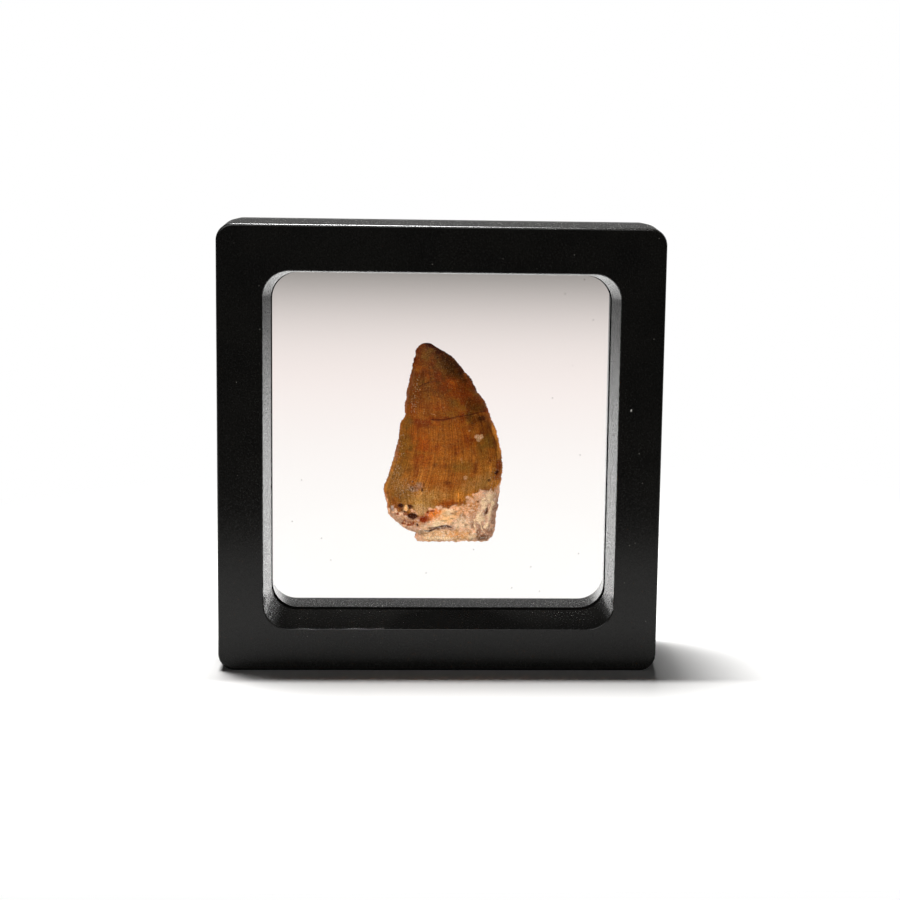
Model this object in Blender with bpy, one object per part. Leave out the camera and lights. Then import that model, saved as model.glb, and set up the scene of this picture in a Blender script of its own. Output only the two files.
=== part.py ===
"""Fossil carcharodontosaurid tooth crown, held between two clear elastic films in a black display frame.

The frame is two moulded halves that meet on the plane y = 0 and open like a book, on two small hinges at the left.
Each half carries one film. The films hug the tooth and are clamped, level, round the window.
X runs across the frame, Y from front to back and Z up. The frame stands on z = 0. All sizes are in metres.
"""

import math

import bmesh
import bpy
import numpy as np
from mathutils import Vector, noise

# Frame
FRAME_WIDTH = 0.0900
FRAME_HEIGHT = 0.0916
FRAME_DEPTH = 0.0210
FRAME_CORNER_RADIUS = 0.0034
FACE_EDGE_RADIUS = 0.0005
SEAM_CHAMFER = 0.0002
OPENING_WIDTH = 0.0716
OPENING_HEIGHT = 0.0732
OPENING_CORNER_RADIUS = 0.0048
OPENING_EDGE_RADIUS = 0.0003
WINDOW_WIDTH = 0.0700
WINDOW_HEIGHT = 0.0710
WINDOW_CORNER_RADIUS = 0.0042
GAP = 0.0003

# Films
FILM_THICKNESS = 0.00025
FILM_OVERLAP = 0.0040
FILM_OVER_TOOTH = 0.00035
FILM_SWELL = 0.0010
FILM_OUTER_CELLS = 3
MEMBRANE_STEP = 0.0010
MEMBRANE_ROUNDS = 4000

# Hinges, at the left
BARREL_RADIUS = 0.0010
HINGE_OFFSET = 0.00027
HINGE_SPACING = 0.0500
OUTER_BARREL_LENGTH = 0.0040
MIDDLE_BARREL_LENGTH = 0.0040
STUB_RADIUS = 0.0004
STUB_LENGTH = 0.0030

# Closing pegs and thumb groove, at the right
PEG_RADIUS = 0.0010
PEG_LENGTH = 0.0025
PEG_INSET = 0.0029
PEG_SPACING = 0.0620
THUMB_GROOVE_RADIUS = 0.0014
THUMB_GROOVE_DEPTH = 0.0008
THUMB_GROOVE_LENGTH = 0.0120

# Tooth. Each outline is a list of (height above the floor, distance to the right of the frame's middle).
CROWN_TIP = 0.0664
TOOTH_BASE = 0.0247
LEFT_EDGE = (
    (0.0247, -0.0048),
    (0.0256, -0.0053),
    (0.0266, -0.0050),
    (0.0273, -0.0070),
    (0.0285, -0.0087),
    (0.0299, -0.0103),
    (0.0311, -0.0111),
    (0.0331, -0.0112),
    (0.0356, -0.01175),
    (0.0393, -0.0106),
    (0.0428, -0.0096),
    (0.0472, -0.0086),
    (0.0500, -0.0082),
    (0.0507, -0.0076),
    (0.0548, -0.0074),
    (0.0584, -0.0067),
    (0.0607, -0.0062),
    (0.0634, -0.0056),
    (0.0655, -0.0049),
    (0.0664, -0.0039),
)
RIGHT_EDGE = (
    (0.0247, 0.0105),
    (0.0256, 0.0113),
    (0.0264, 0.0116),
    (0.0311, 0.0123),
    (0.0344, 0.0127),
    (0.0369, 0.0129),
    (0.0395, 0.0132),
    (0.0423, 0.0131),
    (0.0457, 0.0125),
    (0.0483, 0.0118),
    (0.0499, 0.0111),
    (0.0526, 0.0100),
    (0.0545, 0.0092),
    (0.0566, 0.0078),
    (0.0601, 0.0057),
    (0.0620, 0.0039),
    (0.0639, 0.0020),
    (0.0657, -0.0017),
    (0.0664, -0.0023),
)
# Half the tooth's thickness at each height
HALF_THICKNESS = (
    (0.0247, 0.0035),
    (0.0264, 0.0040),
    (0.0285, 0.0044),
    (0.0320, 0.0048),
    (0.0360, 0.0050),
    (0.0420, 0.0047),
    (0.0480, 0.0041),
    (0.0540, 0.0033),
    (0.0590, 0.0024),
    (0.0630, 0.0015),
    (0.0655, 0.0007),
    (0.0664, 0.0003),
)
# Lower edge of the enamel: (distance to the right, height)
ENAMEL_LINE = (
    (-0.0115, 0.0334),
    (-0.0082, 0.0323),
    (-0.0055, 0.0319),
    (-0.0030, 0.0317),
    (0.0001, 0.0328),
    (0.0032, 0.0334),
    (0.0063, 0.0351),
    (0.0093, 0.0366),
    (0.0130, 0.0372),
)
ENAMEL_STEP = 0.00035
CROWN_BLUNTNESS = 0.74
ROOT_BLUNTNESS = 0.42
TIP_LEAN = 0.0007
ROOT_LUMP = 0.00035
ROOT_LUMP_SIZE = 0.0022
LEDGE_TOP = 0.0268
LEDGE_REACH = 0.0004
BREAK_RISE = 0.0006
BREAK_INSET = 0.45
BREAK_ROUGHNESS = 0.0005
RING_POINTS = 32
NOTCH_DEPTH = 0.0004
RIGHT_NOTCHES = (0.0603, 0.0563)
LEFT_NOTCHES = (0.0549,)
NOTCH_LENGTH = 0.0011

# Worked out from the sizes above
HALF_DEPTH = FRAME_DEPTH / 2
MIDDLE_HEIGHT = FRAME_HEIGHT / 2
HINGE_REACH = HINGE_OFFSET + BARREL_RADIUS
SHIFT_X = HINGE_REACH / 2  # centres the frame and its hinge barrels over the origin
HINGE_X = SHIFT_X - FRAME_WIDTH / 2 - HINGE_OFFSET
FILM_FACE = GAP / 2  # where the mating faces and the films' inner faces lie
FILM_SEAT = FILM_FACE + FILM_THICKNESS + GAP
CORNER_STEPS = 6
CURVE_STEPS = 3

# Colours: red, green, blue, roughness
BLACK_PLASTIC = (0.012, 0.012, 0.011, 0.42)
CLEAR_FILM = (0.95, 0.95, 0.94, 0.06)
FOSSIL_ENAMEL = (0.25, 0.10, 0.03, 0.38)


def clear_scene():
    for old in list(bpy.data.objects):
        bpy.data.objects.remove(old, do_unlink=True)


def plain_material(name, finish, transmission=0.0):
    """A material of one colour and gloss."""
    red, green, blue, roughness = finish
    material = bpy.data.materials.new(name)
    material.use_nodes = True
    shader = material.node_tree.nodes["Principled BSDF"]
    shader.inputs["Base Color"].default_value = (red, green, blue, 1.0)
    shader.inputs["Roughness"].default_value = roughness
    shader.inputs["Transmission Weight"].default_value = transmission
    shader.inputs["IOR"].default_value = 1.49
    material.diffuse_color = (red, green, blue, 1.0)
    return material


def add_object(name, bm, material=None):
    """Links a new object with the mesh in bm, its faces pointing out."""
    bmesh.ops.recalc_face_normals(bm, faces=bm.faces)
    mesh = bpy.data.meshes.new(name)
    bm.to_mesh(mesh)
    bm.free()
    obj = bpy.data.objects.new(name, mesh)
    bpy.context.scene.collection.objects.link(obj)
    if material:
        mesh.materials.append(material)
    return obj


def smooth_through(points, at):
    """A smooth curve through (place, value) points, read at one place."""
    places = [place for place, _ in points]
    values = [value for _, value in points]
    at = min(max(at, places[0]), places[-1])
    slopes = np.gradient(values, places)
    k = min(int(np.searchsorted(places, at, side="right")) - 1, len(places) - 2)
    span = places[k + 1] - places[k]
    t = (at - places[k]) / span
    rise = values[k + 1] - values[k]
    steepest = 3 * abs(rise) / span
    start = float(np.clip(slopes[k], -steepest, steepest)) * span
    end = float(np.clip(slopes[k + 1], -steepest, steepest)) * span
    return (
        values[k]
        + t * start
        + t * t * (3 * rise - 2 * start - end)
        + t * t * t * (start + end - 2 * rise)
    )


def rounded_ring(width, height, radius, y):
    """The points of an upright rounded rectangle round the frame's middle, at depth y."""
    ring = []
    for corner in range(4):
        side_x = 1 if corner in (0, 3) else -1
        side_z = 1 if corner in (0, 1) else -1
        for step in range(CORNER_STEPS + 1):
            angle = math.pi / 2 * (corner + step / CORNER_STEPS)
            x = side_x * (width / 2 - radius) + radius * math.cos(angle)
            z = side_z * (height / 2 - radius) + radius * math.sin(angle)
            ring.append(Vector((x + SHIFT_X, y, z + MIDDLE_HEIGHT)))
    return ring


def loft(rings, closed_section):
    """A mesh of quads between rings of equally many points. The last ring joins the first if closed_section."""
    bm = bmesh.new()
    rows = [[bm.verts.new(point) for point in ring] for ring in rings]
    if closed_section:
        rows.append(rows[0])
    for low, high in zip(rows, rows[1:]):
        for k in range(len(low)):
            after = (k + 1) % len(low)
            bm.faces.new((low[k], low[after], high[after], high[k]))
    if not closed_section:
        bm.faces.new(rows[0])
        bm.faces.new(rows[-1])
    return bm


def half_frame(name, side, material):
    """One moulded half of the frame. side is -1 for the front and +1 for the back."""
    face = HALF_DEPTH
    rings = [
        rounded_ring(
            FRAME_WIDTH - 2 * SEAM_CHAMFER,
            FRAME_HEIGHT - 2 * SEAM_CHAMFER,
            FRAME_CORNER_RADIUS,
            side * FILM_FACE,
        ),
        rounded_ring(
            FRAME_WIDTH,
            FRAME_HEIGHT,
            FRAME_CORNER_RADIUS,
            side * (FILM_FACE + SEAM_CHAMFER),
        ),
    ]
    for step in range(CURVE_STEPS + 1):
        angle = math.pi / 2 * step / CURVE_STEPS
        inset = FACE_EDGE_RADIUS * (1 - math.cos(angle))
        depth = face - FACE_EDGE_RADIUS * (1 - math.sin(angle))
        rings.append(
            rounded_ring(
                FRAME_WIDTH - 2 * inset,
                FRAME_HEIGHT - 2 * inset,
                FRAME_CORNER_RADIUS - inset,
                side * depth,
            )
        )
    for step in range(CURVE_STEPS):
        angle = math.pi / 2 * step / (CURVE_STEPS - 1)
        outset = OPENING_EDGE_RADIUS * (1 - math.sin(angle))
        depth = face - OPENING_EDGE_RADIUS * (1 - math.cos(angle))
        rings.append(
            rounded_ring(
                OPENING_WIDTH + 2 * outset,
                OPENING_HEIGHT + 2 * outset,
                OPENING_CORNER_RADIUS + outset,
                side * depth,
            )
        )
    rings.append(
        rounded_ring(
            WINDOW_WIDTH, WINDOW_HEIGHT, WINDOW_CORNER_RADIUS, side * FILM_SEAT
        )
    )
    seat_width = WINDOW_WIDTH + 2 * (FILM_OVERLAP + GAP)
    seat_height = WINDOW_HEIGHT + 2 * (FILM_OVERLAP + GAP)
    for depth in (FILM_SEAT, FILM_FACE):
        rings.append(rounded_ring(seat_width, seat_height, GAP, side * depth))
    return add_object(name, loft(rings, closed_section=True), material)


def turned_bar(name, radius, start, end, segments, hidden=True):
    """A round bar from start to end, both Vectors on one axis. Hidden ones are helpers for the Booleans."""
    bm = bmesh.new()
    bmesh.ops.create_cone(
        bm,
        cap_ends=True,
        segments=segments,
        radius1=radius,
        radius2=radius,
        depth=(end - start).length,
    )
    turn = Vector((0, 0, 1)).rotation_difference(end - start)
    bmesh.ops.rotate(bm, verts=bm.verts, matrix=turn.to_matrix())
    bmesh.ops.translate(bm, verts=bm.verts, vec=(start + end) / 2)
    bar = add_object(name, bm)
    bar.hide_render = hidden
    bar.display_type = "WIRE"
    return bar


def combine(obj, tool, operation):
    """Adds a Boolean that joins the helper to obj or cuts it away."""
    modifier = obj.modifiers.new(tool.name, "BOOLEAN")
    modifier.operation = operation
    modifier.object = tool
    modifier.solver = "EXACT"


def hinge_span(middle, low, high):
    """Two points on the hinge axis, low and high above the middle of one hinge."""
    return Vector((HINGE_X, 0, middle + low)), Vector((HINGE_X, 0, middle + high))


def add_hinge(front, back, number, middle):
    """One moulded hinge: the front half's middle barrel turns on stubs in the back half's two outer barrels."""
    inner = MIDDLE_BARREL_LENGTH / 2
    outer = inner + GAP
    end = outer + OUTER_BARREL_LENGTH
    room = BARREL_RADIUS + GAP
    for side, tag in ((-1, "low"), (1, "high")):
        barrel = hinge_span(middle, side * outer, side * end)
        pocket = hinge_span(middle, side * (outer - GAP), side * (end + GAP))
        bore = hinge_span(middle, side * (outer - GAP), side * (end + GAP))
        name = f"hinge_{number}_{tag}"
        combine(front, turned_bar(name + "_pocket", room, *pocket, 20), "DIFFERENCE")
        combine(back, turned_bar(name + "_barrel", BARREL_RADIUS, *barrel, 20), "UNION")
        combine(
            back, turned_bar(name + "_bore", STUB_RADIUS + GAP, *bore, 12), "DIFFERENCE"
        )
    name = f"hinge_{number}_middle"
    pocket = hinge_span(middle, -inner - GAP, inner + GAP)
    combine(back, turned_bar(name + "_pocket", room, *pocket, 20), "DIFFERENCE")
    barrel = hinge_span(middle, -inner, inner)
    combine(front, turned_bar(name + "_barrel", BARREL_RADIUS, *barrel, 20), "UNION")
    stubs = hinge_span(middle, -inner - STUB_LENGTH, inner + STUB_LENGTH)
    combine(front, turned_bar(name + "_stubs", STUB_RADIUS, *stubs, 12), "UNION")


def add_peg(front, back, number, height):
    """A closing peg on the back half and its socket in the front half."""
    x = SHIFT_X + FRAME_WIDTH / 2 - PEG_INSET
    root = Vector((x, FILM_FACE + PEG_LENGTH, height))
    tip = Vector((x, -FILM_FACE - PEG_LENGTH, height))
    combine(back, turned_bar(f"peg_{number}", PEG_RADIUS, root, tip, 16), "UNION")
    mouth = Vector((x, 0, height))
    bottom = Vector((x, -FILM_FACE - PEG_LENGTH - GAP, height))
    socket = turned_bar(f"socket_{number}", PEG_RADIUS + GAP, mouth, bottom, 16)
    combine(front, socket, "DIFFERENCE")


def add_thumb_groove(front, back):
    """The groove along the seam, at the right, that a thumbnail opens the frame with."""
    x = SHIFT_X + FRAME_WIDTH / 2 + THUMB_GROOVE_RADIUS - THUMB_GROOVE_DEPTH
    low = Vector((x, 0, MIDDLE_HEIGHT - THUMB_GROOVE_LENGTH / 2))
    high = Vector((x, 0, MIDDLE_HEIGHT + THUMB_GROOVE_LENGTH / 2))
    groove = turned_bar("thumb_groove", THUMB_GROOVE_RADIUS, low, high, 24)
    for half in (front, back):
        combine(half, groove, "DIFFERENCE")


def notch(height, places):
    """How deep the chips in one cutting edge reach at this height."""
    deepest = 0.0
    for place in places:
        near = 1 - abs(height - place) / NOTCH_LENGTH
        deepest = max(deepest, NOTCH_DEPTH * max(near, 0.0))
    return deepest


def tooth_edges(z):
    """The tooth's left and right edges at height z."""
    left = smooth_through(LEFT_EDGE, z) + notch(z, LEFT_NOTCHES)
    right = smooth_through(RIGHT_EDGE, z) - notch(z, RIGHT_NOTCHES)
    return left + SHIFT_X, right + SHIFT_X


def tooth_middle(z):
    """How far back the middle of the tooth's thickness lies: the crown leans back towards its tip."""
    share = (z - TOOTH_BASE) / (CROWN_TIP - TOOTH_BASE)
    return TIP_LEAN * max(share, 0.0) ** 2


def tooth_surface(x, z, side):
    """The y of the tooth's front (side -1) or back (side +1) at x and z, or None off the tooth."""
    left, right = tooth_edges(z)
    across = (2 * x - left - right) / (right - left)
    if abs(across) > 1.0001 or not TOOTH_BASE - 1e-6 <= z <= CROWN_TIP + 1e-6:
        return None
    enamel = smooth_through(ENAMEL_LINE, x - SHIFT_X)
    below = min(max((enamel - z) / 0.0010, 0.0), 1.0)
    lower = min(max((0.0380 - z) / 0.0080, 0.0), 1.0)
    bluntness = CROWN_BLUNTNESS + (ROOT_BLUNTNESS - CROWN_BLUNTNESS) * lower
    swell = max(1 - across * across, 0.0) ** bluntness
    thick = smooth_through(HALF_THICKNESS, z) * swell
    spot = Vector((x, 0.01 * side, z)) / ROOT_LUMP_SIZE
    lump = ROOT_LUMP * noise.noise(spot)
    ledge = LEDGE_REACH if z < LEDGE_TOP else 0.0
    thick += below * min(swell, 1.0) * (lump + ledge - ENAMEL_STEP)
    return tooth_middle(z) + side * max(thick, 0.0)


def tooth_levels():
    """Heights of the rings that make up the tooth, close together at the crumbly base and at the tip."""
    base = np.linspace(TOOTH_BASE + 0.0013, 0.0320, 11)
    crown = np.linspace(0.0330, 0.0630, 30)
    tip = np.linspace(0.0638, CROWN_TIP, 5)
    return [TOOTH_BASE] + [float(z) for z in np.concatenate([base, crown, tip])]


def tooth_ring(z):
    """One level cut through the tooth: along the front from left to right, then back along the rear."""
    left, right = tooth_edges(z)
    half = RING_POINTS // 2
    ring = []
    for k in range(RING_POINTS):
        side = -1 if k < half else 1
        across = -math.cos(2 * math.pi * k / RING_POINTS)
        x = (left + right) / 2 + across * (right - left) / 2
        y = tooth_surface(x, z, side)
        if k in (0, half):
            y = tooth_middle(z)
        ring.append(Vector((x, y, z)))
    return ring


def build_tooth(material):
    rings = [tooth_ring(z) for z in tooth_levels()]
    outer = rings[0]
    middle = sum(outer, Vector()) / len(outer)
    inner = [point.lerp(middle, BREAK_INSET) for point in outer]
    for point in outer:
        point.z += BREAK_RISE * abs(point.y) / HALF_THICKNESS[0][1]
    for point in outer + inner:
        point.z += BREAK_ROUGHNESS * noise.noise(point / ROOT_LUMP_SIZE)
    return add_object("tooth", loft([inner] + rings, closed_section=False), material)


def membrane_heights(side):
    """How far a film stands off its clamped level, on a grid over the window, as a stretched film lies on the tooth."""
    half_w = WINDOW_WIDTH / 2
    half_h = WINDOW_HEIGHT / 2
    xs = np.arange(-half_w, half_w + MEMBRANE_STEP / 2, MEMBRANE_STEP)
    zs = np.arange(-half_h, half_h + MEMBRANE_STEP / 2, MEMBRANE_STEP)
    tooth = np.zeros((len(zs), len(xs)))
    for row, z in enumerate(zs):
        for column, x in enumerate(xs):
            y = tooth_surface(x + SHIFT_X, z + MIDDLE_HEIGHT, side)
            if y is not None:
                tooth[row, column] = side * y + FILM_OVER_TOOTH - FILM_FACE
    held = widest_near(tooth, round(FILM_SWELL / MEMBRANE_STEP))
    height = held.copy()
    for _ in range(MEMBRANE_ROUNDS):
        around = height[:-2, 1:-1] + height[2:, 1:-1]
        around = around + height[1:-1, :-2] + height[1:-1, 2:]
        height[1:-1, 1:-1] = np.maximum(around / 4, held[1:-1, 1:-1])
    return xs, zs, height


def widest_near(values, reach):
    """Each value replaced by the largest one within reach cells of it."""
    rows, columns = values.shape
    padded = np.pad(values, reach)
    steps = range(2 * reach + 1)
    shifted = [padded[i : i + rows, j : j + columns] for i in steps for j in steps]
    return np.maximum.reduce(shifted)


def read_height(xs, zs, height, x, z):
    """The height at x and z, between the grid's points, and zero in the clamped edge."""
    if abs(x) >= xs[-1] - MEMBRANE_STEP or abs(z) >= zs[-1] - MEMBRANE_STEP:
        return 0.0
    column = int((x - xs[0]) / MEMBRANE_STEP)
    row = int((z - zs[0]) / MEMBRANE_STEP)
    across = (x - xs[column]) / MEMBRANE_STEP
    up = (z - zs[row]) / MEMBRANE_STEP
    low = height[row, column] * (1 - across) + height[row, column + 1] * across
    high = height[row + 1, column] * (1 - across) + height[row + 1, column + 1] * across
    return low * (1 - up) + high * up


def film_lines(half_size, fine_from, fine_to, fine_count):
    """Places of the film's grid lines: close together over the tooth, wider towards the clamped edge."""
    edge = half_size + FILM_OVERLAP
    inner = half_size - MEMBRANE_STEP / 2
    low = np.linspace(-inner, fine_from, FILM_OUTER_CELLS + 1)[:-1]
    high = np.linspace(fine_to, inner, FILM_OUTER_CELLS + 1)[1:]
    fine = np.linspace(fine_from, fine_to, fine_count)
    return [-edge, *low, *fine, *high, edge]


def add_fold(bm, corners, side):
    """Two triangles over four corners, folded so that the film bulges away from the tooth."""
    a, b, c, d = corners
    if side * (a.co.y + c.co.y) >= side * (b.co.y + d.co.y):
        bm.faces.new((a, b, c))
        bm.faces.new((a, c, d))
    else:
        bm.faces.new((a, b, d))
        bm.faces.new((b, c, d))


def build_film(name, side, material):
    """A film: one sheet of even thickness, level where it is clamped and drawn over the tooth in the window."""
    xs, zs, height = membrane_heights(side)
    columns = film_lines(WINDOW_WIDTH / 2, -0.0150, 0.0165, 13)
    rows = film_lines(WINDOW_HEIGHT / 2, -0.0240, 0.0230, 17)
    bm = bmesh.new()
    sheets = []
    for offset in (0.0, FILM_THICKNESS):
        sheet = []
        for z in rows:
            line = []
            for x in columns:
                y = side * (FILM_FACE + read_height(xs, zs, height, x, z) + offset)
                line.append(bm.verts.new((x + SHIFT_X, y, z + MIDDLE_HEIGHT)))
            sheet.append(line)
        sheets.append(sheet)
    for sheet in sheets:
        for low, high in zip(sheet, sheet[1:]):
            for k in range(len(columns) - 1):
                add_fold(bm, (low[k], low[k + 1], high[k + 1], high[k]), side)
    for near, far in zip(rim(sheets[0]), rim(sheets[1])):
        bm.faces.new((near[0], near[1], far[1], far[0]))
    film = add_object(name, bm, material)
    film.data.shade_smooth()
    return film


def rim(sheet):
    """The edges round a grid of points, in order."""
    loop = list(sheet[0])
    loop += [line[-1] for line in sheet[1:]]
    loop += list(reversed(sheet[-1]))[1:]
    loop += [line[0] for line in reversed(sheet[1:-1])]
    return list(zip(loop, loop[1:] + loop[:1]))


def main():
    clear_scene()
    plastic = plain_material("black_plastic", BLACK_PLASTIC)
    clear = plain_material("clear_film", CLEAR_FILM, transmission=1.0)
    enamel = plain_material("fossil_enamel", FOSSIL_ENAMEL)
    front = half_frame("frame_front", -1, plastic)
    back = half_frame("frame_back", 1, plastic)
    for number, offset in enumerate((-HINGE_SPACING / 2, HINGE_SPACING / 2), 1):
        add_hinge(front, back, number, MIDDLE_HEIGHT + offset)
    for number, offset in enumerate((-PEG_SPACING / 2, PEG_SPACING / 2), 1):
        add_peg(front, back, number, MIDDLE_HEIGHT + offset)
    add_thumb_groove(front, back)
    build_film("film_front", -1, clear)
    build_film("film_back", 1, clear)
    tooth = build_tooth(enamel)
    tooth.data.shade_smooth()
    tooth.data.set_sharp_from_angle(angle=math.radians(40))
    for half in (front, back):
        half.data.shade_smooth()
        half.data.set_sharp_from_angle(angle=math.radians(32))


main()
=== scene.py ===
"""Dressed scene of a fossil tooth held between two clear films in a black display frame.

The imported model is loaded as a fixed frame. The tooth, both films and both halves of the frame are then modelled in
full detail, each in the place of its plain solid, and the studio and the camera are set up round them.
X runs across the frame, Y from front to back and Z up. Lengths are in metres unless a name says mm.
"""

import logging
import math
from dataclasses import dataclass
from enum import Enum
from itertools import product
from typing import Any, Callable, Iterator

import bmesh
import bpy
import numpy as np
from mathutils import Matrix, Vector, noise


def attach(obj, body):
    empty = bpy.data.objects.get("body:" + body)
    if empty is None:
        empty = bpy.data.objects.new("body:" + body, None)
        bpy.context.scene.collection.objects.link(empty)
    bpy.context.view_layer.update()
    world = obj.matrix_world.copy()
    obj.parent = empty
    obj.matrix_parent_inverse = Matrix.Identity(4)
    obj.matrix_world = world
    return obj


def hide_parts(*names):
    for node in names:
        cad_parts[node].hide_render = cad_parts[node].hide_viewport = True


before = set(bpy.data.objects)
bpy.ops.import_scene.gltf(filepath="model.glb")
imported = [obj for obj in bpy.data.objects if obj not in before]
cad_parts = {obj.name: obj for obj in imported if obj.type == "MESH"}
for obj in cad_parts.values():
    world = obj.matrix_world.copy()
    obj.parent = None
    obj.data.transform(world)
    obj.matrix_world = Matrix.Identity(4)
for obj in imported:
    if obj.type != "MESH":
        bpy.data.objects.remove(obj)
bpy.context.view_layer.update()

LOG = logging.getLogger("tooth_frame")

MM = 0.001
SHIFT_X = 0.635 * MM  # from the origin to the middle of the frame without its hinges
MIDDLE_Z = 45.8 * MM
HALF_DEPTH = 10.5 * MM
SEAM = 0.15 * MM  # how far each half's mating face lies from y = 0
GAP = 0.3 * MM
WINDOW = (70.0 * MM, 71.0 * MM)
FILM_OVERLAP = 4.0 * MM
TOUCH = 1e-6  # how near two places are taken as one
BRIGHTEST = 0.92  # the most light that a stain sends back in any channel
DARKEST = 0.0008  # and the least
SHEEN = 0.009  # light that the sheen over a stain adds to it
PICTURE = 900  # width and height of the picture, in its own points

Pair = tuple[float, float]
Triple = tuple[float, float, float]
Curve = tuple[Pair, ...]
Lines = tuple[tuple[float, Curve], ...]
Mark = tuple[float, float, float, float, float, float]
Marks = tuple[Mark, ...]
Piece = bpy.types.Object
Socket = bpy.types.NodeSocket
EdgeTest = Callable[[Vector, Vector], bool]


class Side(Enum):
    """The two halves of the frame, as the sign of the Y that each faces."""

    FRONT = -1
    BACK = 1

    @property
    def body(self) -> str:
        """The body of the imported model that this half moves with."""
        return self.name.lower()


class Stain(Enum):
    """Mineral colours of the fossil, as seen in soft light: red, green and blue out of 255."""

    AMBER = (142, 80, 32)
    GOLD = (161, 98, 42)
    TOBACCO = (94, 50, 12)
    CHESTNUT = (106, 48, 12)
    RUST = (138, 62, 14)
    ORANGE = (198, 104, 30)
    OCHRE = (192, 120, 48)
    OLIVE = (104, 76, 34)
    GREY_OLIVE = (126, 92, 52)
    DARK_OLIVE = (62, 42, 16)
    UMBER = (76, 42, 20)
    BROWN = (56, 28, 8)
    MAROON = (118, 46, 14)
    PLUM = (126, 86, 70)
    GREY = (112, 106, 104)
    SAND = (176, 130, 70)
    BEIGE = (196, 152, 108)
    PINK = (218, 166, 128)
    GREY_PINK = (186, 142, 114)
    BUTTER = (238, 184, 124)
    CREAM = (250, 216, 172)

    def linear(self, lift: np.ndarray) -> np.ndarray:
        """The colour as linear light, less the sheen that lies over it and lifted by the share of light it gets.

        Args:
            lift: How much brighter each point is painted.

        Returns:
            One colour for each point.
        """
        shade = np.array(self.value) / 255
        light = np.where(shade <= 0.04045, shade / 12.92, ((shade + 0.055) / 1.055) ** 2.4)
        return capped(np.maximum((light - SHEEN) * lift, DARKEST))


Stained = tuple[tuple[Stain, Marks], ...]


class Work(Enum):
    """What a tool does to a piece, in Blender's own words."""

    JOIN = "UNION"
    CUT = "DIFFERENCE"


def capped(light: np.ndarray) -> np.ndarray:
    """Colours as linear light, dimmed where their brightest channel is too bright, with their hue kept."""
    return light / np.maximum(light.max(axis=1, keepdims=True) / BRIGHTEST, 1)


# ---------------------------------------------------------------- shared helpers


class Bench:
    """The modelling steps that every piece uses."""

    @staticmethod
    def only(piece: Piece) -> None:
        """Selects one piece and makes it active.

        Args:
            piece: The piece.
        """
        bpy.ops.object.select_all(action="DESELECT")
        piece.select_set(True)
        bpy.context.view_layer.objects.active = piece

    @staticmethod
    def settle(piece: Piece, name: str) -> Piece:
        """Names a new piece and writes its place, turn and size into its mesh.

        Args:
            piece: The piece that was just added.
            name: Its name.

        Returns:
            The same piece, at the origin.
        """
        piece.name = piece.data.name = name
        Bench.only(piece)
        bpy.ops.object.transform_apply(location=True, rotation=True, scale=True)
        return piece

    @staticmethod
    def box(name: str, low: Vector, high: Vector) -> Piece:
        """A block between two corners.

        Args:
            name: Name of the piece.
            low: Its lowest corner.
            high: Its highest corner.

        Returns:
            The block.
        """
        bpy.ops.object.select_all(action="DESELECT")
        bpy.ops.mesh.primitive_cube_add(size=1, location=(low + high) / 2)
        bpy.context.object.scale = high - low
        return Bench.settle(bpy.context.object, name)

    @staticmethod
    def bar(name: str, radius: float, middle: Vector, length: float, upright: bool = True) -> Piece:
        """A round bar along Z, or along Y when it isn't upright.

        Args:
            name: Name of the piece.
            radius: Its radius.
            middle: Its middle.
            length: Its length.
            upright: Whether it stands along Z.

        Returns:
            The bar.
        """
        bpy.ops.object.select_all(action="DESELECT")
        turn = (0, 0, 0) if upright else (math.pi / 2, 0, 0)
        bpy.ops.mesh.primitive_cylinder_add(vertices=48, radius=radius, depth=length, location=middle, rotation=turn)
        return Bench.settle(bpy.context.object, name)

    @staticmethod
    def round_edges(
        piece: Piece, radius: float, segments: int, chosen: EdgeTest
    ) -> None:
        """Rounds the edges of a piece whose two ends pass a test.

        Args:
            piece: The piece.
            radius: Radius of the rounding.
            segments: Number of faces across it.
            chosen: Says whether an edge with these two ends is rounded.
        """
        Bench.only(piece)
        bpy.ops.object.mode_set(mode="EDIT")
        bpy.ops.mesh.select_mode(type="EDGE")
        bpy.ops.mesh.select_all(action="DESELECT")
        sheet = bmesh.from_edit_mesh(piece.data)
        for edge in sheet.edges:
            edge.select_set(chosen(edge.verts[0].co, edge.verts[1].co))
        bmesh.update_edit_mesh(piece.data)
        bpy.ops.mesh.bevel(offset=radius, segments=segments, profile=0.5, affect="EDGES")
        bpy.ops.object.mode_set(mode="OBJECT")

    @staticmethod
    def running(least: float) -> EdgeTest:
        """A test for edges that run further than a length from front to back."""
        return lambda a, b: abs(a.y - b.y) > least

    @staticmethod
    def lying(y: float) -> EdgeTest:
        """A test for edges that lie flat at one depth."""
        return lambda a, b: abs(a.y - y) < TOUCH and abs(b.y - y) < TOUCH

    @staticmethod
    def combine(piece: Piece, tool: Piece, work: Work) -> None:
        """Joins a tool to a piece or cuts it away, then removes the tool.

        Args:
            piece: The piece.
            tool: The other solid.
            work: What is done with it.
        """
        Bench.only(piece)
        modifier = piece.modifiers.new(tool.name, "BOOLEAN")
        modifier.operation = work.value
        modifier.object = tool
        modifier.solver = "EXACT"
        bpy.ops.object.modifier_apply(modifier=modifier.name)
        bpy.data.objects.remove(tool, do_unlink=True)

    @staticmethod
    def points(piece: Piece) -> np.ndarray:
        """Where a piece's vertices are, one to a row.

        Args:
            piece: The piece.

        Returns:
            The places.
        """
        places = np.empty(len(piece.data.vertices) * 3)
        piece.data.vertices.foreach_get("co", places)
        return places.reshape(-1, 3)

    @staticmethod
    def move_points(piece: Piece, places: np.ndarray) -> None:
        """Moves a piece's vertices to new places."""
        piece.data.vertices.foreach_set("co", places.ravel())
        piece.data.update()


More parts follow.
